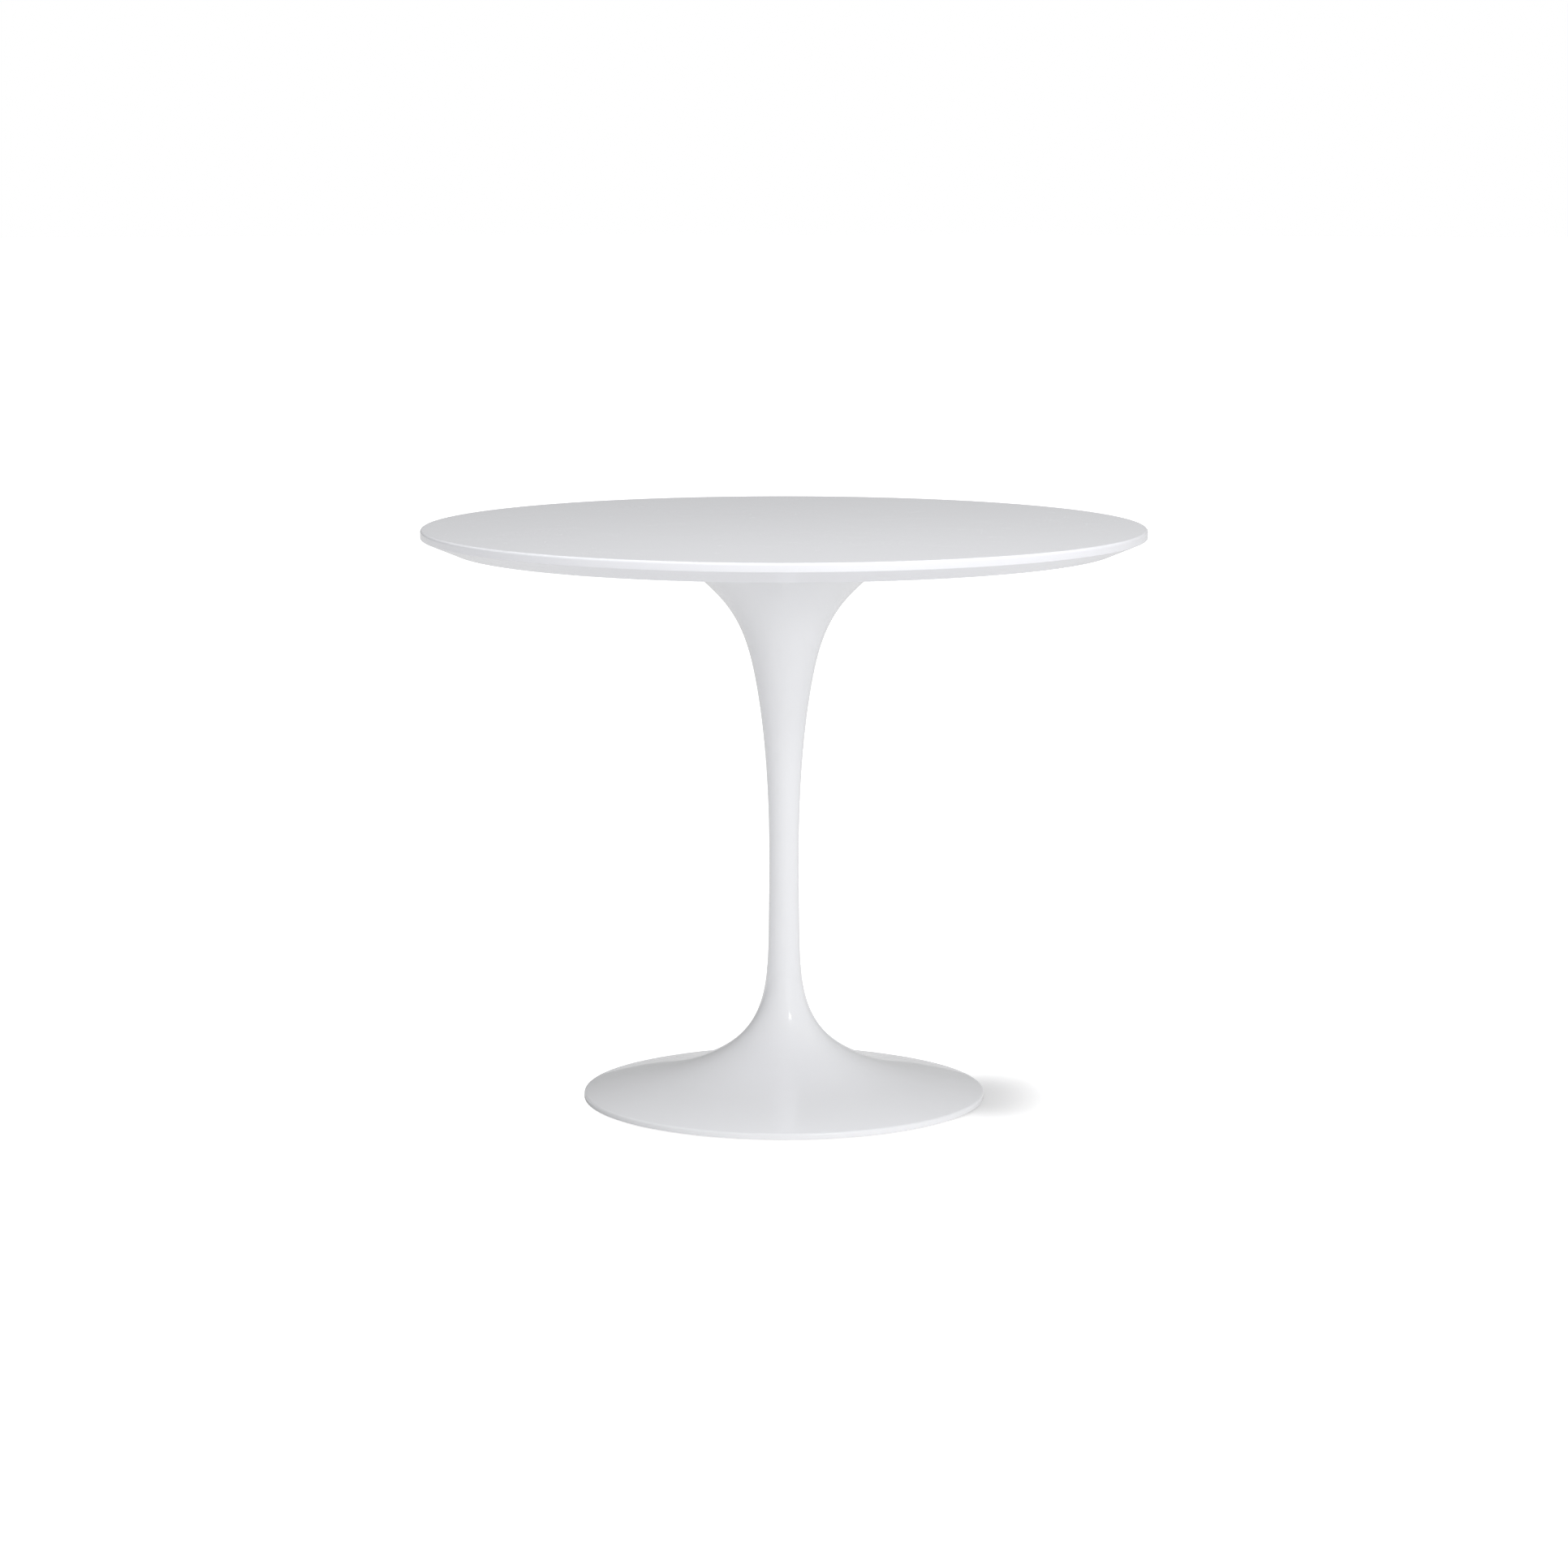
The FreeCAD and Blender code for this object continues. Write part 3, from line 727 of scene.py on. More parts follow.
    def skin(self, tree: bpy.types.NodeTree) -> None:
        """Build the skin of a sand casting: grain, pits and flow marks.

        Args:
            tree: the empty group to fill.
        """
        graph, given, made = self.sockets(tree, ["Scale"], ["Height", "Tone"])
        place = graph.place()
        sand = graph.noise(place, given["Scale"], 5.0, 0.65)
        feeds = {"Vector": place, "Scale": given["Scale"]}
        pits = graph.node("ShaderNodeTexVoronoi", feeds).outputs[0]
        flow = graph.noise(place, graph.maths("DIVIDE", given["Scale"], self.flow_size), 3.0, 0.6)
        rough = graph.maths("MULTIPLY_ADD", pits, self.pit_share, sand)
        graph.feed(made["Height"], graph.maths("ADD", rough, flow))
        graph.feed(made["Tone"], flow)


def start_material(name: str) -> tuple[bpy.types.Material, Graph, bpy.types.Node]:
    """Make an empty node material.

    Args:
        name: its name.

    Returns:
        The material, its graph and its shader.
    """
    material = bpy.data.materials.new(name)
    material.use_nodes = True
    material.node_tree.nodes.clear()
    graph = Graph(material.node_tree)
    shader = graph.node("ShaderNodeBsdfPrincipled")
    graph.node("ShaderNodeOutputMaterial", {"Surface": shader.outputs[0]})
    return material, graph, shader


def opaque(colour: Colour) -> tuple[float, float, float, float]:
    """The colour with full alpha."""
    return (*colour, 1.0)


@dataclass(frozen=True)
class SprayedCoat:
    """Satin white coat, sprayed over a smooth ground."""

    name: str
    white: Colour
    shade: Colour
    dust: Colour = (0.60, 0.58, 0.55)
    smooth: float = 0.26
    rough: float = 0.30
    peel_scale: float = 380.0
    peel_height: float = 9e-6
    swell: float = 1.5
    marks_scale: float = 5.0
    marks_cover: float = 0.12
    dust_amount: float = 0.02
    scuff_width: float = 0.0025
    scuff_share: float = 0.012
    dust_scale: float = 900.0
    scuff_scale: float = 9.0
    coat_weight: float = 0.5
    coat_roughness: float = 0.05

    def material(self, effects: Effects) -> bpy.types.Material:
        """Build the material.

        Args:
            effects: the shared node groups.

        Returns:
            The material.
        """
        material, graph, shader = start_material(self.name)
        marks = effects.use(graph, Effect.MARKS,
                            Scale=self.marks_scale, Cover=self.marks_cover)["Mask"]
        dust = effects.use(graph, Effect.DUST,
                           Scale=self.dust_scale, Amount=self.dust_amount)["Mask"]
        scuffs = effects.use(graph, Effect.SCUFFS,
                             Scale=self.scuff_scale, Width=self.scuff_width)["Mask"]
        ripple = effects.use(graph, Effect.RIPPLE,
                             Scale=self.peel_scale, Swell=self.swell)["Height"]
        marked = graph.blend(marks, opaque(self.white), opaque(self.shade))
        dusty = graph.blend(dust, marked, opaque(self.dust))
        faint = graph.maths("MULTIPLY", scuffs, self.scuff_share)
        graph.feed(shader.inputs["Base Color"], graph.blend(faint, dusty, opaque(self.shade)))
        base = graph.remap(marks, 0.0, 1.0, self.smooth, self.rough)
        worn = graph.maths("MULTIPLY_ADD", scuffs, self.scuff_share, base)
        graph.feed(shader.inputs["Roughness"], graph.maths("ADD", worn, dust, clamp=True))
        graph.bump(shader, ripple, 1.0, self.peel_height)
        shader.inputs["Coat Weight"].default_value = self.coat_weight
        shader.inputs["Coat Roughness"].default_value = self.coat_roughness
        shader.inputs["IOR"].default_value = LACQUER_IOR
        return material


@dataclass(frozen=True)
class CastInside:
    """Thin overspray on the casting's unfinished inside."""

    name: str = "cast_overspray"
    sprayed: Colour = (0.66, 0.66, 0.66)
    bare: Colour = (0.54, 0.54, 0.55)
    skin_scale: float = 420.0
    skin_height: float = 0.12 * MM
    thin_zone: tuple[float, float] = (0.38, 0.68)
    bare_metal: float = 0.12
    wear_scale: float = 120.0
    wear_amount: float = 0.7
    smooth: float = 0.5
    rough: float = 0.68

    def material(self, effects: Effects) -> bpy.types.Material:
        """Build the material.

        Args:
            effects: the shared node groups.

        Returns:
            The material.
        """
        material, graph, shader = start_material(self.name)
        skin = effects.use(graph, Effect.SKIN, Scale=self.skin_scale)
        thin = graph.remap(skin["Tone"], *self.thin_zone, 0.0, 1.0, smooth=True)
        wear = effects.use(graph, Effect.WEAR,
                           Scale=self.wear_scale, Amount=self.wear_amount)["Mask"]
        coat = graph.blend(thin, opaque(self.sprayed), opaque(self.bare))
        graph.feed(shader.inputs["Base Color"], graph.blend(wear, coat, opaque(self.bare)))
        shine = graph.remap(thin, 0.0, 1.0, self.smooth, self.rough)
        graph.feed(shader.inputs["Roughness"], shine)
        graph.feed(shader.inputs["Metallic"], graph.maths("MULTIPLY", thin, self.bare_metal))
        graph.bump(shader, skin["Height"], 0.8, self.skin_height)
        return material


@dataclass(frozen=True)
class RawBoard:
    """Fibreboard laid bare where the top was drilled."""

    name: str = "raw_fibreboard"
    light: Colour = (0.42, 0.30, 0.19)
    dark: Colour = (0.27, 0.18, 0.11)
    grain_scale: float = 1500.0
    grain_height: float = 0.1 * MM
    grain_tones: tuple[float, float] = (0.5, 1.6)
    smooth: float = 0.8
    rough: float = 0.95

    def material(self, effects: Effects) -> bpy.types.Material:
        """Build the material from the cast skin's grain, finer and in brown.

        Args:
            effects: the shared node groups.

        Returns:
            The material.
        """
        material, graph, shader = start_material(self.name)
        skin = effects.use(graph, Effect.SKIN, Scale=self.grain_scale)
        tone = graph.remap(skin["Height"], *self.grain_tones, 0.0, 1.0)
        board = graph.blend(tone, opaque(self.light), opaque(self.dark))
        graph.feed(shader.inputs["Base Color"], board)
        shine = graph.remap(tone, 0.0, 1.0, self.smooth, self.rough)
        graph.feed(shader.inputs["Roughness"], shine)
        graph.bump(shader, skin["Height"], 1.0, self.grain_height)
        return material


@dataclass(frozen=True)
class Metal:
    """Bare or plated metal with turning lines, mottle and rubbed edges."""

    name: str
    clean: Colour
    dull: Colour
    worn: Colour
    smooth: float = 0.26
    rough: float = 0.45
    grain_scale: float = 900.0
    mottle_scale: float = 140.0
    mottle_zone: tuple[float, float] = (0.35, 0.68)
    mottle_rough: float = 0.08
    line_zone: tuple[float, float] = (0.3, 0.7)
    line_height: float = 0.02 * MM
    wear_scale: float = 300.0
    wear_amount: float = 0.6

    def material(self, effects: Effects) -> bpy.types.Material:
        """Build the material.

        Args:
            effects: the shared node groups.

        Returns:
            The material.
        """
        material, graph, shader = start_material(self.name)
        grain = effects.use(graph, Effect.GRAIN, Scale=self.grain_scale, Mottle=self.mottle_scale)
        wear = effects.use(graph, Effect.WEAR,
                           Scale=self.wear_scale, Amount=self.wear_amount)["Mask"]
        mottle = graph.remap(grain["Patches"], *self.mottle_zone, 0.0, 1.0, smooth=True)
        plated = graph.blend(mottle, opaque(self.clean), opaque(self.dull))
        graph.feed(shader.inputs["Base Color"], graph.blend(wear, plated, opaque(self.worn)))
        rough = graph.remap(grain["Lines"], *self.line_zone, self.smooth, self.rough)
        dull = graph.maths("MULTIPLY_ADD", mottle, self.mottle_rough, rough)
        graph.feed(shader.inputs["Roughness"], dull)
        graph.bump(shader, grain["Lines"], 0.6, self.line_height)
        shader.inputs["Metallic"].default_value = 1.0
        return material


@dataclass(frozen=True)
class DippedCoat:
    """Matt black dip coat over rolled steel, rubbed at the edges."""

    name: str = "black_dip_coat"
    black: Colour = (0.030, 0.030, 0.032)
    grey: Colour = (0.065, 0.064, 0.064)
    steel: Colour = (0.34, 0.34, 0.35)
    marks_scale: float = 16.0
    marks_cover: float = 0.9
    scuff_scale: float = 14.0
    scuff_width: float = 0.006
    scuff_share: float = 0.5
    wear_scale: float = 160.0
    wear_amount: float = 0.8
    peel_scale: float = 700.0
    peel_swell: float = 0.8
    peel_height: float = 0.03 * MM
    smooth: float = 0.42
    rough: float = 0.6

    def material(self, effects: Effects) -> bpy.types.Material:
        """Build the material.

        Args:
            effects: the shared node groups.

        Returns:
            The material.
        """
        material, graph, shader = start_material(self.name)
        marks = effects.use(graph, Effect.MARKS,
                            Scale=self.marks_scale, Cover=self.marks_cover)["Mask"]
        scuffs = effects.use(graph, Effect.SCUFFS,
                             Scale=self.scuff_scale, Width=self.scuff_width)["Mask"]
        wear = effects.use(graph, Effect.WEAR,
                           Scale=self.wear_scale, Amount=self.wear_amount)["Mask"]
        peel = effects.use(graph, Effect.RIPPLE,
                           Scale=self.peel_scale, Swell=self.peel_swell)["Height"]
        coat = graph.blend(marks, opaque(self.black), opaque(self.grey))
        faint = graph.maths("MULTIPLY", scuffs, self.scuff_share)
        scuffed = graph.blend(faint, coat, opaque(self.steel))
        graph.feed(shader.inputs["Base Color"], graph.blend(wear, scuffed, opaque(self.steel)))
        graph.feed(shader.inputs["Metallic"], wear)
        shine = graph.remap(marks, 0.0, 1.0, self.smooth, self.rough)
        graph.feed(shader.inputs["Roughness"], shine)
        graph.bump(shader, peel, 0.7, self.peel_height)
        return material


@dataclass(frozen=True)
class MouldedNylon:
    """Black moulded nylon, scraped pale where it meets the floor."""

    name: str = "moulded_nylon"
    black: Colour = (0.022, 0.022, 0.023)
    scraped: Colour = (0.10, 0.10, 0.10)
    scuff_scale: float = 70.0
    scuff_width: float = 0.012
    wear_scale: float = 600.0
    wear_amount: float = 0.5
    peel_scale: float = 2400.0
    peel_swell: float = 0.5
    peel_height: float = 0.02 * MM
    smooth: float = 0.48
    rough: float = 0.7

    def material(self, effects: Effects) -> bpy.types.Material:
        """Build the material.

        Args:
            effects: the shared node groups.

        Returns:
            The material.
        """
        material, graph, shader = start_material(self.name)
        scuffs = effects.use(graph, Effect.SCUFFS,
                             Scale=self.scuff_scale, Width=self.scuff_width)["Mask"]
        wear = effects.use(graph, Effect.WEAR,
                           Scale=self.wear_scale, Amount=self.wear_amount)["Mask"]
        peel = effects.use(graph, Effect.RIPPLE,
                           Scale=self.peel_scale, Swell=self.peel_swell)["Height"]
        both = graph.maths("MAXIMUM", scuffs, wear)
        nylon = graph.blend(both, opaque(self.black), opaque(self.scraped))
        graph.feed(shader.inputs["Base Color"], nylon)
        shine = graph.remap(both, 0.0, 1.0, self.smooth, self.rough)
        graph.feed(shader.inputs["Roughness"], shine)
        graph.bump(shader, peel, 0.6, self.peel_height)
        return material


class Finishes:
    """Every material of the table."""

    def __init__(self) -> None:
        """Build the materials."""
        effects = Effects()
        self.top = SprayedCoat(
            "white_top_lacquer", (0.815, 0.820, 0.855), (0.795, 0.800, 0.832),
        ).material(effects)
        self.pedestal = SprayedCoat(
            "white_pedestal_coat", (0.822, 0.827, 0.847), (0.800, 0.805, 0.824),
            smooth=0.24, rough=0.28, peel_scale=520.0, peel_height=6e-6, marks_scale=9.0,
            coat_weight=0.75, coat_roughness=0.07,
        ).material(effects)
        self.inside = CastInside().material(effects)
        self.board = RawBoard().material(effects)
        self.plate = DippedCoat().material(effects)
        self.zinc = Metal("bright_zinc", (0.62, 0.63, 0.65), (0.50, 0.51, 0.54),
                          (0.74, 0.74, 0.75)).material(effects)
        self.spring = Metal("blued_spring_steel", (0.20, 0.20, 0.22), (0.12, 0.12, 0.13),
                            (0.45, 0.45, 0.46), rough=0.5).material(effects)
        self.brass = Metal("turned_brass", (0.72, 0.54, 0.27), (0.52, 0.37, 0.18),
                           (0.86, 0.69, 0.40)).material(effects)
        self.nylon = MouldedNylon().material(effects)


M6 = Thread(2.95 * MM, 1.0 * MM, 0.55 * MM)
M8 = Thread(3.95 * MM, 1.25 * MM, 0.70 * MM)
M16 = Thread(7.95 * MM, 2.0 * MM, 1.15 * MM)


HUB_CIRCLE = 105.0 * MM
SCREW_COUNT = 6
SCREW_CLEARANCE = 3.3 * MM
ROD_BORE = 8.5 * MM
NUT_CORNER = 13.86 * MM
NUT_BORE = 8.0 * MM
NUT_CHAMFER = math.radians(30)
NUT_FACE = 0.97
NUT_LIP = 0.6 * MM
TIP = 0.6 * MM
THREAD_START = 0.2 * MM
GLIDE_COUNT = 4


def levels(node: str) -> tuple[float, float]:
    """A CAD node's lowest and highest points."""
    low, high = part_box(node)
    return low.z, high.z


def reach(node: str) -> float:
    """Radius of a CAD node that stands on the table's axis, kept inside its box on every side."""
    low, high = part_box(node)
    return min(-low.x, high.x, -low.y, high.y)


def hollow(shell: Shell, inner: float, outer: float, bottom: float, top: float,
           rounding: float, segments: int, spot: Point = (0.0, 0.0)) -> None:
    """Turn a ring with rounded edges.

    Args:
        shell: the mesh to add to.
        inner: radius of its bore.
        outer: radius of its outside.
        bottom: its lowest level.
        top: its highest level.
        rounding: rounding of its four edges.
        segments: how many steps go round.
        spot: where its axis stands.
    """
    middle = (inner + outer) / 2
    rows = rounded([
        (middle, bottom, 0.0),
        (outer, bottom, rounding),
        (outer, top, rounding),
        (inner, top, rounding),
        (inner, bottom, rounding),
        (middle - rounding / 10, bottom, 0.0),
    ])
    shell.lathe(rows, segments, spot, closed=True)


def drilled_plate(shell: Shell, bore: float, outer: float, bottom: float, top: float,
                  rounding: float, holes: Sequence[list[Ring]]) -> None:
    """Turn a plate with a bore and flat faces pierced by holes.

    Args:
        shell: the mesh to add to.
        bore: radius of the middle hole.
        outer: radius of the plate.
        bottom: its lower face.
        top: its upper face.
        rounding: rounding of its edges.
        holes: the holes' rings, each from the lower face to the upper.
    """
    land = 3 * rounding
    rim = shell.lathe(rounded([
        (outer - land, bottom, 0.0),
        (outer, bottom, rounding),
        (outer, top, rounding),
        (outer - land, top, 0.0),
    ]), PLATE_STEPS)
    middle = shell.lathe(rounded([
        (bore + land, bottom, 0.0),
        (bore, bottom, rounding),
        (bore, top, rounding),
        (bore + land, top, 0.0),
    ]), RING_STEPS)
    shell.fill(rim[0], [middle[0], *(hole[0] for hole in holes)])
    shell.fill(rim[-1], [middle[-1], *(hole[-1] for hole in holes)])


def hexagon_nut(shell: Shell, bottom: float, top: float) -> None:
    """Turn one of the rod's nuts, with chamfered corners and a countersunk bore.

    Args:
        shell: the mesh to add to.
        bottom: its lower face.
        top: its upper face.
    """
    face = NUT_CORNER * math.cos(HALF_SIDE) * NUT_FACE
    spread = NUT_CORNER - face
    rise = spread * math.tan(NUT_CHAMFER)
    steps = [index / CHAMFER_STEPS for index in range(CHAMFER_STEPS + 1)]
    lower = [Row(face + spread * step, bottom + rise * step, NUT_CORNER) for step in steps]
    upper = [Row(row.radius, bottom + top - row.height, NUT_CORNER) for row in reversed(lower)]
    bored = [
        Row(NUT_BORE + NUT_LIP, top),
        Row(NUT_BORE, top - NUT_LIP),
        Row(NUT_BORE, bottom + NUT_LIP),
        Row(NUT_BORE + NUT_LIP, bottom),
    ]
    shell.lathe([*lower, *upper, *bored], NUT_STEPS, closed=True)


@dataclass
class Assembly:
    """A sub-assembly that dresses its pieces in the table's materials."""

    finishes: Finishes


@dataclass
class Tabletop(Assembly):
    """Round top with a rounded upper edge, an upright band and a bevelled underside."""

    edge_band: float = 10.7 * MM
    edge_round: float = 3.0 * MM
    corner_round: float = 1.0 * MM
    bevel_radius: float = 418.0 * MM
    bevel_round: float = 2.5 * MM
    hole_radius: float = 5.0 * MM
    hole_depth: float = 14.0 * MM
    face_rings: tuple[float, ...] = (0.3, 0.6, 0.9)
    under_ring: float = 0.8
    segments: int = 288
    insert_thread: Thread = Thread(4.97 * MM, 2.5 * MM, 0.55 * MM)
    insert_bore: float = 3.0 * MM
    insert_lip: float = 0.4 * MM

    def build(self) -> None:
        """Build and dress the top and its inserts."""
        self.build_top()
        self.build_inserts()

    def build_top(self) -> None:
        """Build the board."""
        bottom, top = levels("tabletop")
        radius = reach("tabletop")
        rows = rounded([
            (0.0, top, 0.0),
            *((radius * share, top, 0.0) for share in self.face_rings),
            (radius, top, self.edge_round),
            (radius, top - self.edge_band, self.corner_round),
            (self.bevel_radius, bottom, self.bevel_round),
            (self.bevel_radius * self.under_ring, bottom, 0.0),
        ])
        shell = Shell()
        underside = shell.lathe(rows, self.segments)[-1]
        mouths = []
        for spot in around(SCREW_COUNT, HUB_CIRCLE):
            wall = [Row(self.hole_radius, bottom), Row(self.hole_radius, bottom + self.hole_depth),
                    Row(0.0, bottom + self.hole_depth)]
            mouths.append(shell.lathe(wall, HOLE_STEPS, spot, coat=1)[0])
        shell.fill(underside, mouths)
        coats = [self.finishes.top, self.finishes.board]
        shell.piece("lacquered_top", "tabletop", coats)

    def build_inserts(self) -> None:
        """Build the threaded inserts."""
        bottom, top = levels("top_inserts")
        lip = self.insert_lip
        shell = Shell()
        for spot in around(SCREW_COUNT, HUB_CIRCLE):
            rows = [
                Row(self.insert_bore + lip, bottom),
                Row(self.insert_thread.radius, bottom),
                *threaded(self.insert_thread, bottom + lip, top - lip),
                Row(self.insert_thread.radius - lip, top),
                Row(self.insert_bore, top),
                Row(self.insert_bore, bottom + lip),
            ]
            shell.lathe(rows, SCREW_STEPS, spot, thread=self.insert_thread, closed=True)
        shell.piece("brass_inserts", "top_inserts", [self.finishes.brass])


@dataclass
class Hub(Assembly):
    """Plate under the top, its screws and washers, and the coupling that takes the rod."""

    rounding: float = 0.8 * MM
    hole_lip: float = 0.3 * MM
    head_radius: float = 5.5 * MM
    head_round: float = 1.2 * MM
    head_height: float = 4.0 * MM
    socket_radius: float = 2.3 * MM
    socket_depth: float = 2.2 * MM
    weld_width: float = 3.2 * MM
    weld_ripples: int = 46
    weld_wave: float = 0.08
    weld_root: float = 0.5 * MM
    weld_bead: tuple[Point, ...] = ((0.45, 0.72), (0.82, 0.35), (1.0, 0.0))
    washer_radius: float = 6.0 * MM
    washer_round: float = 0.25 * MM
    coupling_round: float = 0.9 * MM

    def build(self) -> None:
        """Build and dress every piece."""
        self.build_plate()
        self.build_screws()
        self.build_washers()
        self.build_coupling()
        shell = Shell()
        hexagon_nut(shell, *levels("rod_jam_nut"))
        shell.piece("jam_nut", "rod_jam_nut", [self.finishes.zinc])

    def build_plate(self) -> None:
        """Build the plate."""
        bottom, top = levels("hub_plate")
        radius = reach("hub_plate")
        shell = Shell()
        lip, wide = self.hole_lip, SCREW_CLEARANCE + self.hole_lip
        land = SCREW_CLEARANCE + self.rounding
        rows = [
            Row(land, bottom),
            Row(wide, bottom),
            Row(SCREW_CLEARANCE, bottom + lip),
            Row(SCREW_CLEARANCE, top - lip),
            Row(wide, top),
            Row(land, top),
        ]
        holes = [shell.lathe(rows, HOLE_STEPS, spot) for spot in around(SCREW_COUNT, HUB_CIRCLE)]
        drilled_plate(shell, ROD_BORE, radius, bottom, top, self.rounding, holes)
        shell.piece("hub_disc", "hub_plate", [self.finishes.plate])

    def build_screws(self) -> None:
        """Build the pan-head screws."""
        bottom, tip = levels("hub_screws")
        seat = bottom + self.head_height
        head = rounded([
            (self.socket_radius * 1.3, bottom, 0.0),
            (self.head_radius, bottom, self.head_round),
            (self.head_radius, seat, 0.3 * MM),
            (M6.radius, seat, 0.0),
        ])
        rows = [
            *hex_socket(self.socket_radius, bottom + self.socket_depth, bottom),
            *head,
            *threaded(M6, seat + THREAD_START, tip - TIP),
            Row(M6.radius - M6.depth, tip),
            Row(0.0, tip),
        ]
        shell = Shell()
        for number, spot in enumerate(around(SCREW_COUNT, HUB_CIRCLE)):
            shell.lathe(rows, SCREW_STEPS, spot, turned=number * 0.7, thread=M6)
        shell.piece("pan_head_screws", "hub_screws", [self.finishes.zinc])

    def build_washers(self) -> None:
        """Build the plain washers."""
        bottom, top = levels("hub_washers")
        shell = Shell()
        for spot in around(SCREW_COUNT, HUB_CIRCLE):
            hollow(shell, SCREW_CLEARANCE, self.washer_radius, bottom, top, self.washer_round,
                   SCREW_STEPS, spot)
        shell.piece("plain_washers", "hub_washers", [self.finishes.zinc])

    def build_coupling(self) -> None:
        """Build the coupling with the weld bead that holds it to the plate."""
        bottom, top = levels("rod_coupling")
        radius = reach("rod_coupling")
        shell = Shell()
        hollow(shell, NUT_BORE, radius, bottom, top, self.coupling_round, RING_STEPS)
        steps = self.weld_ripples * 6
        sections = []
        for index in range(steps):
            angle = TAU * index / steps
            width = self.weld_width * (1.0 + self.weld_wave * math.cos(angle * self.weld_ripples))
            bead = [
                (radius - self.weld_root, top - width),
                *((radius + width * out, top - width * down) for out, down in self.weld_bead),
                (radius - self.weld_root, top),
            ]
            sections.append(shell.ring(
                (away * math.cos(angle), away * math.sin(angle), height) for away, height in bead))
        for index, section in enumerate(sections):
            shell.skin(section, sections[(index + 1) % steps])
        shell.piece("coupling_sleeve", "rod_coupling", [self.finishes.zinc])


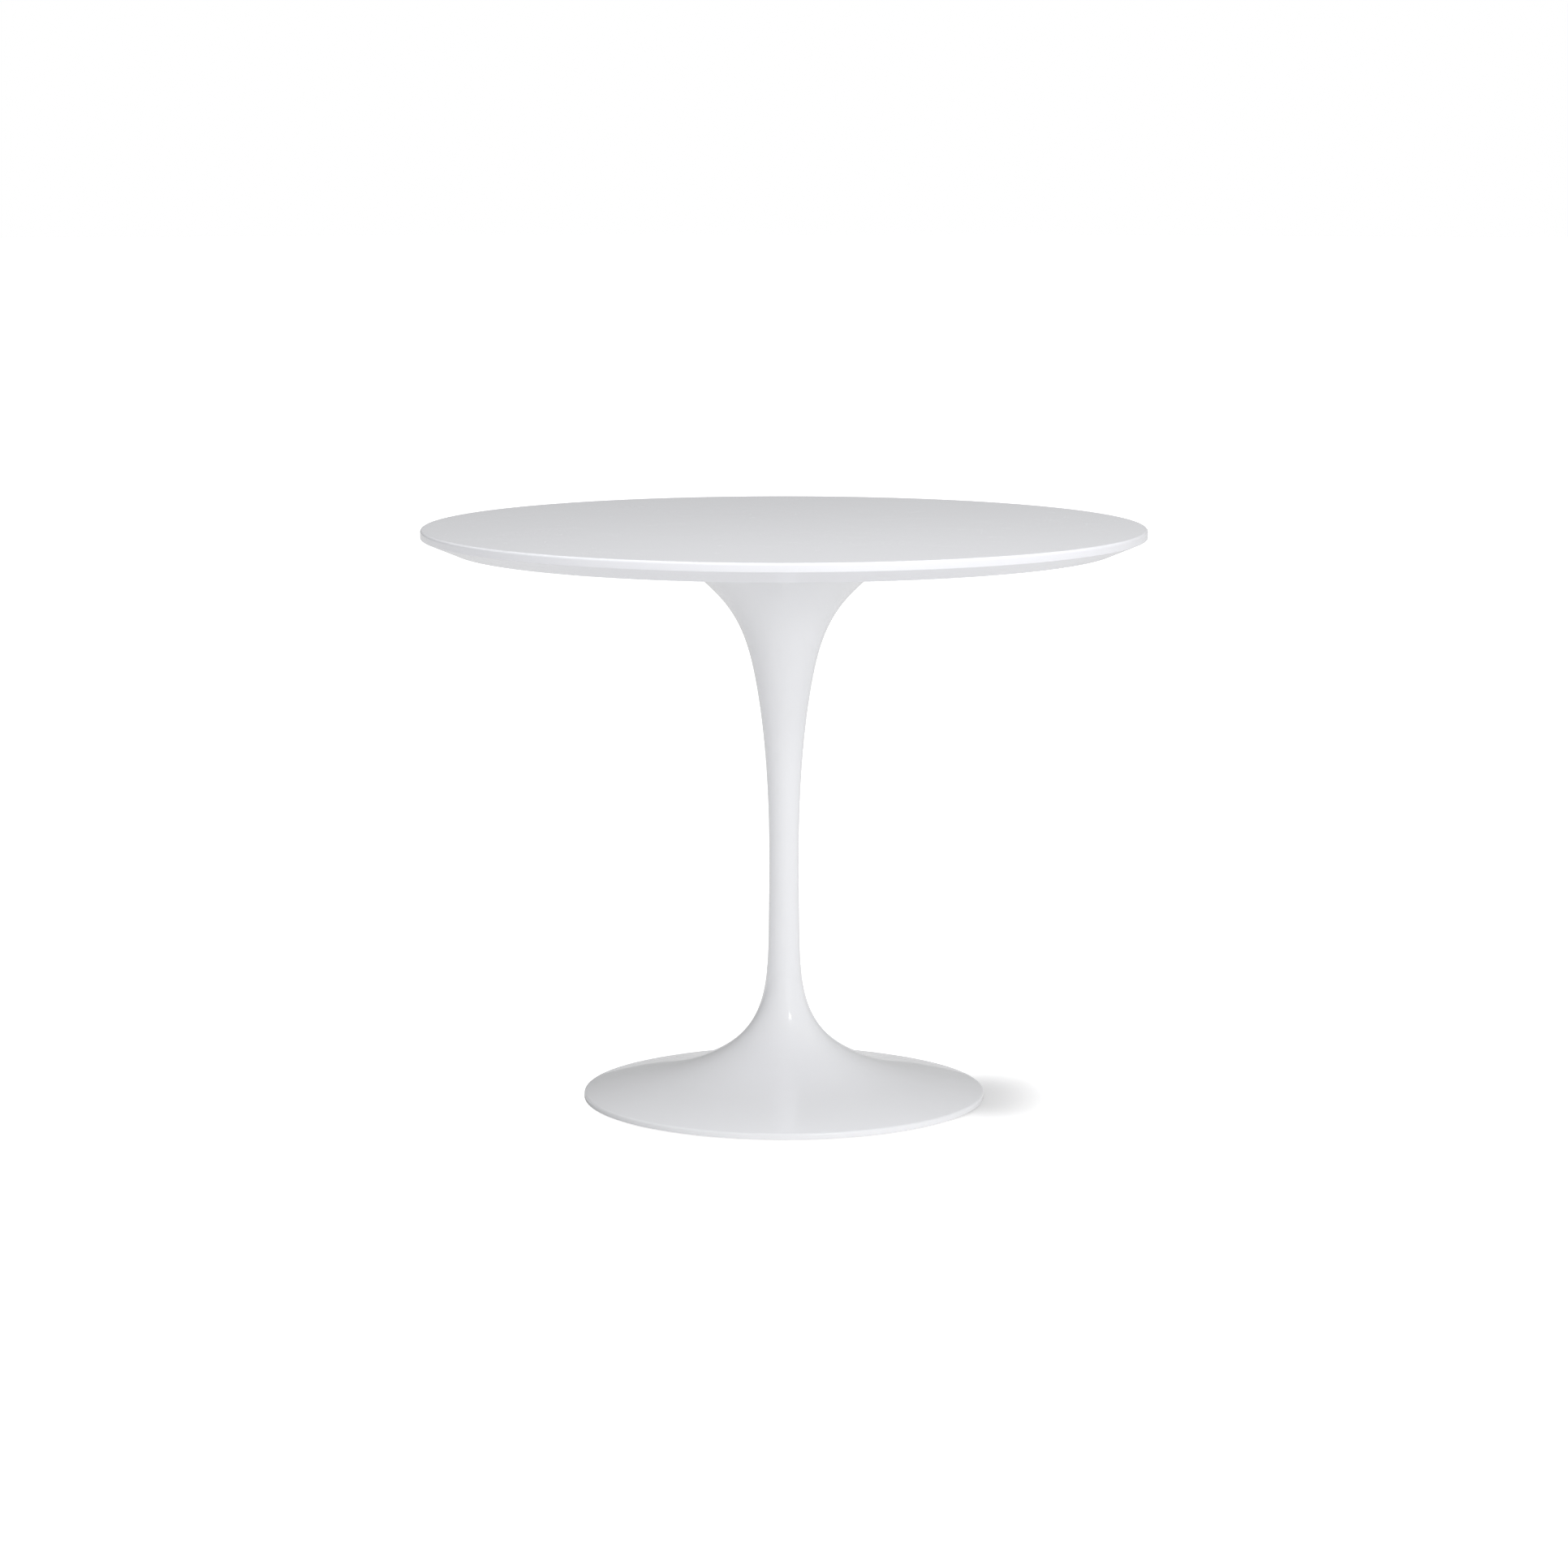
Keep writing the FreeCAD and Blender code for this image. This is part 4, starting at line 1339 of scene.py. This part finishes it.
@dataclass
class Pedestal(Assembly):
    """Hollow casting: foot, stem and flared mouth in one curve, with ribs and bosses inside."""

    poles: tuple[Point, ...] = (
        (218 * MM, 20 * MM), (152 * MM, 32 * MM), (94 * MM, 52 * MM), (45.5 * MM, 84 * MM),
        (20.3 * MM, 140 * MM), (19.7 * MM, 235 * MM), (18.1 * MM, 345 * MM), (23.3 * MM, 455 * MM),
        (37 * MM, 555 * MM), (57.7 * MM, 622 * MM), (94.7 * MM, 662 * MM),
    )
    mouth_radius: float = 152 * MM
    wall: float = 5 * MM
    rim_top: float = 9.5 * MM
    rim_round: float = 3 * MM
    lip_round: float = 0.8 * MM
    web_bottom: float = 95 * MM
    web_top: float = 107 * MM
    web_fillet: float = 3 * MM
    rib_half: float = 2 * MM
    rib_inner: float = 62 * MM
    rib_outer: float = 205 * MM
    rib_bottom: float = 12.5 * MM
    rib_steps: int = 16
    boss_circle: float = 150 * MM
    boss_radius: float = 8 * MM
    boss_bore: float = 3 * MM
    boss_depth: float = 14 * MM
    boss_lip: float = 0.4 * MM
    boss_flare: tuple[Point, ...] = ((0.0, 3.2 * MM), (0.5 * MM, 1.9 * MM), (1.6 * MM, 0.9 * MM))
    glide_circle: float = 226 * MM
    glide_bottom: float = 3.5 * MM
    glide_bore: float = 4 * MM
    glide_depth: float = 10.8 * MM
    segments: int = 256
    outer: list[Point] = field(default_factory=list, init=False)
    inner: list[Point] = field(default_factory=list, init=False)

    def build(self) -> None:
        """Build and dress the casting."""
        self.outer = sample_curve(self.outer_poles(), 15)
        self.inner = sample_curve(self.inner_poles(), 8)
        shell = Shell()
        self.build_wall(shell)
        for index in range(SCREW_COUNT):
            self.build_rib(shell, TAU * index / SCREW_COUNT)
        for spot in around(SCREW_COUNT, self.boss_circle):
            self.build_boss(shell, spot, self.rib_bottom, self.boss_bore, self.boss_depth)
        for spot in around(GLIDE_COUNT, self.glide_circle, TAU / 8):
            self.build_boss(shell, spot, self.glide_bottom, self.glide_bore, self.glide_depth)
        coats = [self.finishes.pedestal, self.finishes.inside]
        shell.piece("pedestal_casting", "pedestal", coats)

    def outer_poles(self) -> list[Point]:
        """Control points of the outside, from the foot's rim to the mouth."""
        top = levels("pedestal")[1]
        return [(reach("pedestal"), self.rim_top), *self.poles, (self.mouth_radius, top)]

    def inner_poles(self) -> list[Point]:
        """Move the outside's control points in by the wall.

        Returns:
            Control points of the cavity, from the foot's rim to the mouth.
        """
        outer = [Vector(pole) for pole in self.outer_poles()]
        moved = []
        for before, here, after in zip(outer, outer[1:], outer[2:]):
            along = (after - before).normalized()
            moved.append((here.x - self.wall * along.y, here.y + self.wall * along.x))
        side = outer[0] - outer[1]
        drop = self.wall * (side.length + side.y) / side.x
        lip = outer[-1] - outer[-2]
        mouth = outer[-1].x - self.wall * lip.length / lip.y
        return [(outer[0].x - self.wall, outer[0].y - drop), *moved, (mouth, outer[-1].y)]

    def build_wall(self, shell: Shell) -> None:
        """Turn the outside and the cavity, with the web across the stem.

        Args:
            shell: the casting's mesh.
        """
        bottom, top = levels("pedestal")
        foot_radius = reach("pedestal")
        middle = foot_radius - self.wall / 2
        outside = [(x, z, 0.0) for x, z in reversed(self.outer[1:-1])]
        outside_rings = shell.lathe(rounded([
            (self.mouth_radius - self.wall / 2, top, 0.0),
            (self.mouth_radius, top, self.lip_round),
            *outside,
            (foot_radius, self.rim_top, self.rim_round),
            (foot_radius, bottom, self.lip_round),
            (middle, bottom, 0.0),
        ]), self.segments)
        below = [(x, z, 0.0) for x, z in self.inner[1:] if z < self.web_bottom - self.web_fillet]
        above = [(x, z, 0.0) for x, z in self.inner[:-1] if z > self.web_top + self.web_fillet]
        inside_rings = shell.lathe(rounded([
            (middle - self.lip_round / 2, bottom, 0.0),
            (self.inner[0][0], bottom, self.lip_round),
            (*self.inner[0], self.lip_round),
            *below,
            (radius_at(self.inner, self.web_bottom), self.web_bottom, self.web_fillet),
            (ROD_BORE, self.web_bottom, self.lip_round),
            (ROD_BORE, self.web_top, self.lip_round),
            (radius_at(self.inner, self.web_top), self.web_top, self.web_fillet),
            *above,
            (self.inner[-1][0], top, self.lip_round),
            (self.inner[-1][0] + self.wall / 2, top, 0.0),
        ]), self.segments, coat=1)
        shell.skin(outside_rings[-1], inside_rings[0], coat=1)
        shell.skin(inside_rings[-1], outside_rings[0], coat=1)

    def middle_height(self, radius: float) -> float:
        """Height of the middle of the foot's wall at a radius."""
        return (height_at(self.outer, radius) + height_at(self.inner, radius)) / 2

    def build_rib(self, shell: Shell, angle: float) -> None:
        """Build a rib under the foot's skin, its top buried in the wall.

        Args:
            shell: the casting's mesh.
            angle: its direction from the axis.
        """
        cos, sin = math.cos(angle), math.sin(angle)
        sections = []
        for index in range(self.rib_steps + 1):
            radius = self.rib_inner + (self.rib_outer - self.rib_inner) * index / self.rib_steps
            top = self.middle_height(radius)
            edge = self.lip_round
            profile = [
                (-self.rib_half, top), (-self.rib_half, self.rib_bottom + edge),
                (-self.rib_half + edge, self.rib_bottom), (self.rib_half - edge, self.rib_bottom),
                (self.rib_half, self.rib_bottom + edge), (self.rib_half, top),
            ]
            sections.append([(radius * cos - side * sin, radius * sin + side * cos, height)
                             for side, height in profile])
        shell.sweep(sections, coat=1)

    def build_boss(self, shell: Shell, spot: Point, bottom: float, bore: float,
                   depth: float) -> None:
        """Build a drilled boss that flares into the wall.

        Args:
            shell: the casting's mesh.
            spot: where its axis stands.
            bottom: its lower face.
            bore: radius of its hole.
            depth: depth of its hole.
        """
        lip = self.boss_lip
        rows = [
            Row(0.0, bottom + depth),
            Row(bore, bottom + depth),
            Row(bore, bottom + lip),
            Row(bore + lip, bottom),
            Row(self.boss_radius - lip, bottom),
            Row(self.boss_radius, bottom + lip),
        ]
        last = shell.lathe(rows, STUD_STEPS, spot, coat=1)[-1]
        for spread, sink in self.boss_flare:
            points = []
            for away_x, away_y in around(STUD_STEPS, self.boss_radius + spread):
                x, y = spot[0] + away_x, spot[1] + away_y
                height = self.middle_height(math.hypot(x, y)) - sink
                points.append((x, y, max(bottom + lip, height)))
            upper = shell.ring(points)
            shell.skin(last, upper, coat=1)
            last = upper
        crown = shell.ring([(*spot, self.middle_height(math.hypot(*spot)))])
        shell.skin(last, crown, coat=1)


@dataclass
class Clamp(Assembly):
    """Rod down the stem, with the washers and the nut that pull it against the web."""

    rod_chamfer: float = 1.0 * MM
    lower_thread: float = 42 * MM
    upper_thread: float = 60 * MM
    washer_round: float = 0.6 * MM
    spring_inner: float = 8.1 * MM
    spring_outer: float = 13.7 * MM
    spring_gap: float = math.radians(8)
    spring_round: float = 0.5 * MM
    spring_steps: int = 90

    def build(self) -> None:
        """Build and dress every piece."""
        self.build_rod()
        shell = Shell()
        hollow(shell, ROD_BORE, reach("clamp_washer"), *levels("clamp_washer"), self.washer_round,
               RING_STEPS)
        shell.piece("thick_washer", "clamp_washer", [self.finishes.zinc])
        self.build_spring()
        shell = Shell()
        hexagon_nut(shell, *levels("clamp_nut"))
        shell.piece("hex_nut", "clamp_nut", [self.finishes.zinc])

    def build_rod(self) -> None:
        """Build the rod, threaded at both ends."""
        bottom, top = levels("tie_rod")
        neck = M16.radius - self.rod_chamfer
        rows = [
            Row(0.0, bottom),
            Row(neck, bottom),
            *threaded(M16, bottom + self.rod_chamfer, bottom + self.lower_thread),
            *threaded(M16, top - self.upper_thread, top - self.rod_chamfer),
            Row(neck, top),
            Row(0.0, top),
        ]
        shell = Shell()
        shell.lathe(rows, STUD_STEPS, thread=M16)
        shell.piece("threaded_rod", "tie_rod", [self.finishes.zinc])

    def build_spring(self) -> None:
        """Build the split washer."""
        bottom, top = levels("spring_washer")
        middle = (self.spring_inner + self.spring_outer) / 2
        profile = rounded([
            (middle, bottom, 0.0),
            (self.spring_outer, bottom, self.spring_round),
            (self.spring_outer, top, self.spring_round),
            (self.spring_inner, top, self.spring_round),
            (self.spring_inner, bottom, self.spring_round),
            (middle - self.spring_round / 10, bottom, 0.0),
        ])
        sections = []
        for index in range(self.spring_steps + 1):
            angle = (TAU - self.spring_gap) * index / self.spring_steps
            cos, sin = math.cos(angle), math.sin(angle)
            sections.append([(row.radius * cos, row.radius * sin, row.height) for row in profile])
        shell = Shell()
        shell.sweep(sections)
        shell.piece("split_washer", "spring_washer", [self.finishes.spring])


@dataclass
class Ballast(Assembly):
    """Steel plate that weights and closes the foot, with its countersunk screws."""

    access_radius: float = 40 * MM
    rounding: float = 1.2 * MM
    circle: float = 150 * MM
    sink_radius: float = 6.3 * MM
    sink_lip: float = 0.2 * MM
    sink_depth: float = 3.3 * MM
    head_radius: float = 6.0 * MM
    head_edge: float = 0.3 * MM
    head_land: float = 0.25 * MM
    socket_radius: float = 2.3 * MM
    socket_depth: float = 2.2 * MM

    def build(self) -> None:
        """Build and dress the plate and its screws."""
        self.build_plate()
        self.build_screws()

    def build_plate(self) -> None:
        """Build the plate."""
        bottom, top = levels("ballast_plate")
        rows = [
            Row(self.sink_radius + self.rounding, bottom),
            Row(self.sink_radius + self.sink_lip, bottom),
            Row(self.sink_radius, bottom + self.sink_lip / 2),
            Row(SCREW_CLEARANCE, bottom + self.sink_depth),
            Row(SCREW_CLEARANCE, top),
            Row(SCREW_CLEARANCE + self.rounding, top),
        ]
        shell = Shell()
        holes = [shell.lathe(rows, STUD_STEPS, spot) for spot in around(SCREW_COUNT, self.circle)]
        drilled_plate(shell, self.access_radius, reach("ballast_plate"), bottom, top,
                      self.rounding, holes)
        shell.piece("ballast_disc", "ballast_plate", [self.finishes.plate])

    def build_screws(self) -> None:
        """Build the countersunk screws."""
        bottom, tip = levels("ballast_screws")
        neck = bottom + self.sink_depth
        rows = [
            *hex_socket(self.socket_radius, bottom + self.socket_depth, bottom),
            Row(self.head_radius - self.head_edge, bottom),
            Row(self.head_radius, bottom + self.head_land),
            Row(M6.radius, neck),
            *threaded(M6, neck + THREAD_START, tip - TIP),
            Row(M6.radius - M6.depth, tip),
            Row(0.0, tip),
        ]
        shell = Shell()
        for number, spot in enumerate(around(SCREW_COUNT, self.circle)):
            shell.lathe(rows, SCREW_STEPS, spot, turned=0.3 + number * 0.9, thread=M6)
        shell.piece("countersunk_screws", "ballast_screws", [self.finishes.zinc])


@dataclass
class Glide(Assembly):
    """Levelling screw with the nylon pad snapped over its flange."""

    number: int
    flange_radius: float = 7.0 * MM
    flange_height: float = 1.3 * MM
    flange_round: float = 0.25 * MM
    key_radius: float = 2.3 * MM
    key_depth: float = 2.5 * MM
    pad_round: float = 0.6 * MM
    hole_round: float = 0.2 * MM
    key_hole: float = 4.5 * MM
    cavity_radius: float = 7.05 * MM
    cavity_bottom: float = 0.8 * MM
    cavity_top: float = 2.2 * MM
    shank_hole: float = 4.0 * MM
    groove_radius: float = 9.6 * MM
    groove_depth: float = 0.3 * MM

    def build(self) -> None:
        """Build and dress the screw and the pad."""
        self.build_screw()
        self.build_pad()

    def spot(self) -> Point:
        """Find where the glide's axis stands.

        Returns:
            The place, as x and y.
        """
        low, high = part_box(f"glide_pad_{self.number}")
        middle = (low + high) / 2
        return middle.x, middle.y

    def build_screw(self) -> None:
        """Build the levelling screw."""
        node = f"glide_screw_{self.number}"
        bottom, tip = levels(node)
        seat = bottom + self.flange_height
        flange = rounded([
            (self.key_radius * 1.4, bottom, 0.0),
            (self.flange_radius, bottom, self.flange_round),
            (self.flange_radius, seat, self.flange_round),
            (M8.radius, seat, 0.0),
        ])
        rows = [
            *hex_socket(self.key_radius, bottom + self.key_depth, bottom),
            *flange,
            *threaded(M8, seat + 0.3 * MM, tip - 0.7 * MM),
            Row(M8.radius - M8.depth, tip),
            Row(0.0, tip),
        ]
        shell = Shell()
        shell.lathe(rows, STUD_STEPS, self.spot(), turned=self.number * 0.5, thread=M8)
        shell.piece(f"levelling_screw_{self.number}", node, [self.finishes.zinc],
                    f"screw_{self.number}")

    def build_pad(self) -> None:
        """Build the pad, with a shallow ring moulded in its sole."""
        node = f"glide_pad_{self.number}"
        (left, _, bottom), (right, _, top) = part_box(node)
        radius = (right - left) / 2
        depth = self.groove_depth
        rows = rounded([
            (self.key_hole, bottom + self.cavity_bottom, 0.0),
            (self.key_hole, bottom, self.hole_round),
            (self.groove_radius - depth * 2, bottom, 0.0),
            (self.groove_radius - depth, bottom + depth, 0.0),
            (self.groove_radius + depth, bottom + depth, 0.0),
            (self.groove_radius + depth * 2, bottom, 0.0),
            (radius, bottom, self.pad_round),
            (radius, top, self.pad_round),
            (self.shank_hole, top, self.hole_round),
            (self.shank_hole, bottom + self.cavity_top, 0.0),
            (self.cavity_radius, bottom + self.cavity_top, 0.0),
            (self.cavity_radius, bottom + self.cavity_bottom, 0.0),
        ])
        shell = Shell()
        shell.lathe(rows, RING_STEPS, self.spot(), closed=True)
        shell.piece(f"nylon_foot_{self.number}", node, [self.finishes.nylon],
                    f"pad_{self.number}")


@dataclass
class Softbox:
    """One large area light aimed at the table."""

    name: str
    azimuth: float
    elevation: float
    distance: float
    width: float
    height: float
    power: float
    mirrored: bool = True

    def hang(self, aim: Vector) -> None:
        """Place the light.

        Args:
            aim: the point it faces.
        """
        turn, rise = math.radians(self.azimuth), math.radians(self.elevation)
        level = math.cos(rise)
        away = Vector((math.sin(turn) * level, -math.cos(turn) * level, math.sin(rise)))
        data = bpy.data.lights.new(self.name, "AREA")
        data.shape = "RECTANGLE"
        data.size, data.size_y = self.width, self.height
        data.energy = self.power
        lamp = bpy.data.objects.new(self.name, data)
        lamp.location = aim + away * self.distance
        lamp.visible_camera = False
        lamp.visible_glossy = self.mirrored
        lamp.rotation_mode = "QUATERNION"
        lamp.rotation_quaternion = (-away).to_track_quat("-Z", "Y")
        bpy.context.scene.collection.objects.link(lamp)
        log.info("light %s", self.name)


@dataclass
class Studio:
    """Camera, pale floor, bright surroundings and soft lights."""

    camera_back: float = 5.602
    camera_height: float = 1.250
    camera_pitch: float = 8.573
    focal_length: float = 102.39
    sensor: float = 36.0
    aim_height: float = 0.4
    floor_radius: float = 40.0
    floor_albedo: float = 0.90
    floor_glare: float = 1.15
    floor_glow: float = 0.55
    underlit_reach: float = 0.04
    shade_inner: float = 0.250
    shade_outer: float = 0.430
    shade_depth: float = 0.50
    shade_side: float = 0.75
    left_low_level: float = 0.20
    left_high_level: float = 0.84
    left_rise: tuple[float, float] = (0.1, 0.45)
    middle_level: float = 0.85
    right_level: float = 0.88
    turning_point: float = -0.15
    zenith_level: float = 0.94
    back_level: float = 0.60
    back_start: float = 0.2
    bright_side: tuple[float, float, float] = (0.95, -0.31, 0.0)
    boxes: tuple[Softbox, ...] = (
        Softbox("key_softbox", 28, 32, 3.6, 0.40, 0.36, 8),
        Softbox("front_softbox", 28, 9, 4.0, 2.6, 1.4, 28, mirrored=False),
        Softbox("overhead_softbox", 4, 66, 1.42, 1.1, 0.6, 6.2, mirrored=False),
    )

    def place_camera(self) -> None:
        """Make the scene's camera."""
        data = bpy.data.cameras.new("camera")
        data.lens = self.focal_length
        data.sensor_width = self.sensor
        camera = bpy.data.objects.new("camera", data)
        camera.location = (0.0, -self.camera_back, self.camera_height)
        camera.rotation_euler = (math.radians(90.0 - self.camera_pitch), 0.0, 0.0)
        bpy.context.scene.collection.objects.link(camera)
        bpy.context.scene.camera = camera
        bpy.context.scene.view_settings.view_transform = "Standard"

    def build(self) -> None:
        """Set up the surroundings, the floor and the lights."""
        self.light_surroundings()
        self.lay_floor()
        for box in self.boxes:
            box.hang(Vector((0.0, 0.0, self.aim_height)))

    def light_surroundings(self) -> None:
        """White to the camera; to the table, brighter on one side than on the other."""
        world = bpy.data.worlds.new("surroundings")
        bpy.context.scene.world = world
        world.use_nodes = True
        world.node_tree.nodes.clear()
        graph = Graph(world.node_tree)
        way = graph.node("ShaderNodeTexCoord").outputs["Generated"]
        across = graph.node("ShaderNodeVectorMath", {0: way, 1: self.bright_side},
                            operation="DOT_PRODUCT")
        toward = across.outputs["Value"]
        _, deep, up = graph.node("ShaderNodeSeparateXYZ", {0: way}).outputs
        left = graph.remap(up, *self.left_rise, self.left_low_level, self.left_high_level)
        dark = graph.remap(toward, -1.0, self.turning_point, left, self.middle_level)
        gain = self.right_level - self.middle_level
        extra = graph.remap(toward, self.turning_point, 1.0, 0.0, gain)
        side = graph.maths("ADD", dark, extra)
        rise = graph.remap(up, 0.0, 1.0, 1.0, self.zenith_level)
        back = graph.remap(deep, self.back_start, 1.0, 1.0, self.back_level)
        level = graph.maths("MULTIPLY", graph.maths("MULTIPLY", side, rise), back)
        soft = graph.node("ShaderNodeBackground", {"Color": WHITE, "Strength": level})
        white = graph.node("ShaderNodeBackground", {"Color": WHITE, "Strength": 1.0})
        seen = graph.node("ShaderNodeLightPath").outputs["Is Camera Ray"]
        mixed = graph.node("ShaderNodeMixShader",
                           {0: seen, 1: soft.outputs[0], 2: white.outputs[0]})
        graph.node("ShaderNodeOutputWorld", {"Surface": mixed.outputs[0]})

    def lay_floor(self) -> None:
        """Lay a pale floor that can be seen through from below."""
        shell = Shell()
        rings = shell.lathe([Row(0.0, 0.0), Row(1.0, 0.0), Row(self.floor_radius, 0.0)], 64)
        data = bpy.data.meshes.new("floor")
        bmesh.ops.recalc_face_normals(shell.mesh, faces=shell.mesh.faces)
        if rings[0][0].link_faces[0].normal.z < 0:
            bmesh.ops.reverse_faces(shell.mesh, faces=shell.mesh.faces)
        shell.mesh.to_mesh(data)
        shell.mesh.free()
        floor = bpy.data.objects.new("floor", data)
        bpy.context.scene.collection.objects.link(floor)
        data.materials.append(self.floor_material())

    def floor_material(self) -> bpy.types.Material:
        """Make the floor's material.

        Returns:
            A matt white that the camera sees brighter than it lights the table. It is clear from
            below, and to light that leaves the table close to it, so that the underside is lit.
        """
        material = bpy.data.materials.new("pale_floor")
        material.use_nodes = True
        material.node_tree.nodes.clear()
        graph = Graph(material.node_tree)
        grain = graph.noise(graph.place(), 3.0, 3.0)
        pale = graph.remap(grain, 0.3, 0.7, self.floor_albedo, self.floor_albedo + 0.01)
        matt = graph.node("ShaderNodeBsdfDiffuse", {"Color": pale})
        shade = self.contact_shade(graph)
        bright = graph.maths("MULTIPLY", pale, graph.maths("MULTIPLY", shade, self.floor_glare))
        lit = graph.node("ShaderNodeBsdfDiffuse", {"Color": bright})
        glow = graph.node("ShaderNodeEmission", {
            "Strength": graph.maths("MULTIPLY", shade, self.floor_glow)})
        both = graph.node("ShaderNodeAddShader", {0: lit.outputs[0], 1: glow.outputs[0]})
        path = graph.node("ShaderNodeLightPath").outputs
        seen = path["Is Camera Ray"]
        shown = graph.node("ShaderNodeMixShader",
                           {0: seen, 1: matt.outputs[0], 2: both.outputs[0]})
        clear = graph.node("ShaderNodeBsdfTransparent")
        below = graph.node("ShaderNodeNewGeometry").outputs["Backfacing"]
        close = graph.maths("LESS_THAN", path["Ray Length"], self.underlit_reach)
        unseen = graph.maths("SUBTRACT", 1.0, seen)
        open_to = graph.maths("MAXIMUM", below, graph.maths("MULTIPLY", close, unseen))
        sided = graph.node("ShaderNodeMixShader",
                           {0: open_to, 1: shown.outputs[0], 2: clear.outputs[0]})
        graph.node("ShaderNodeOutputMaterial", {"Surface": sided.outputs[0]})
        return material

    def contact_shade(self, graph: Graph) -> bpy.types.NodeSocket:
        """Soft shade on the floor, close along the foot's right side.

        Args:
            graph: the floor's graph.

        Returns:
            The share of light left, 1 where there is no shade.
        """
        place = graph.place()
        away = graph.node("ShaderNodeVectorMath", {0: place}, operation="LENGTH").outputs["Value"]
        near = graph.remap(away, self.shade_inner, self.shade_outer, 1.0, 0.0, smooth=True)
        across = graph.node("ShaderNodeSeparateXYZ", {0: place}).outputs[0]
        turn = graph.maths("DIVIDE", across, away)
        side = graph.remap(turn, self.shade_side, 1.0, 0.0, 1.0, smooth=True)
        shade = graph.maths("MULTIPLY", graph.maths("MULTIPLY", near, side), self.shade_depth)
        return graph.maths("SUBTRACT", 1.0, shade)


def main() -> None:
    """Build the whole scene."""
    logging.basicConfig(level=logging.INFO, format="%(message)s")
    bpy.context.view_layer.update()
    studio = Studio()
    studio.place_camera()
    finishes = Finishes()
    for assembly in (Tabletop, Hub, Pedestal, Clamp, Ballast):
        assembly(finishes).build()
    for number in range(1, GLIDE_COUNT + 1):
        Glide(finishes, number).build()
    studio.build()


if __name__ == "__main__":
    main()
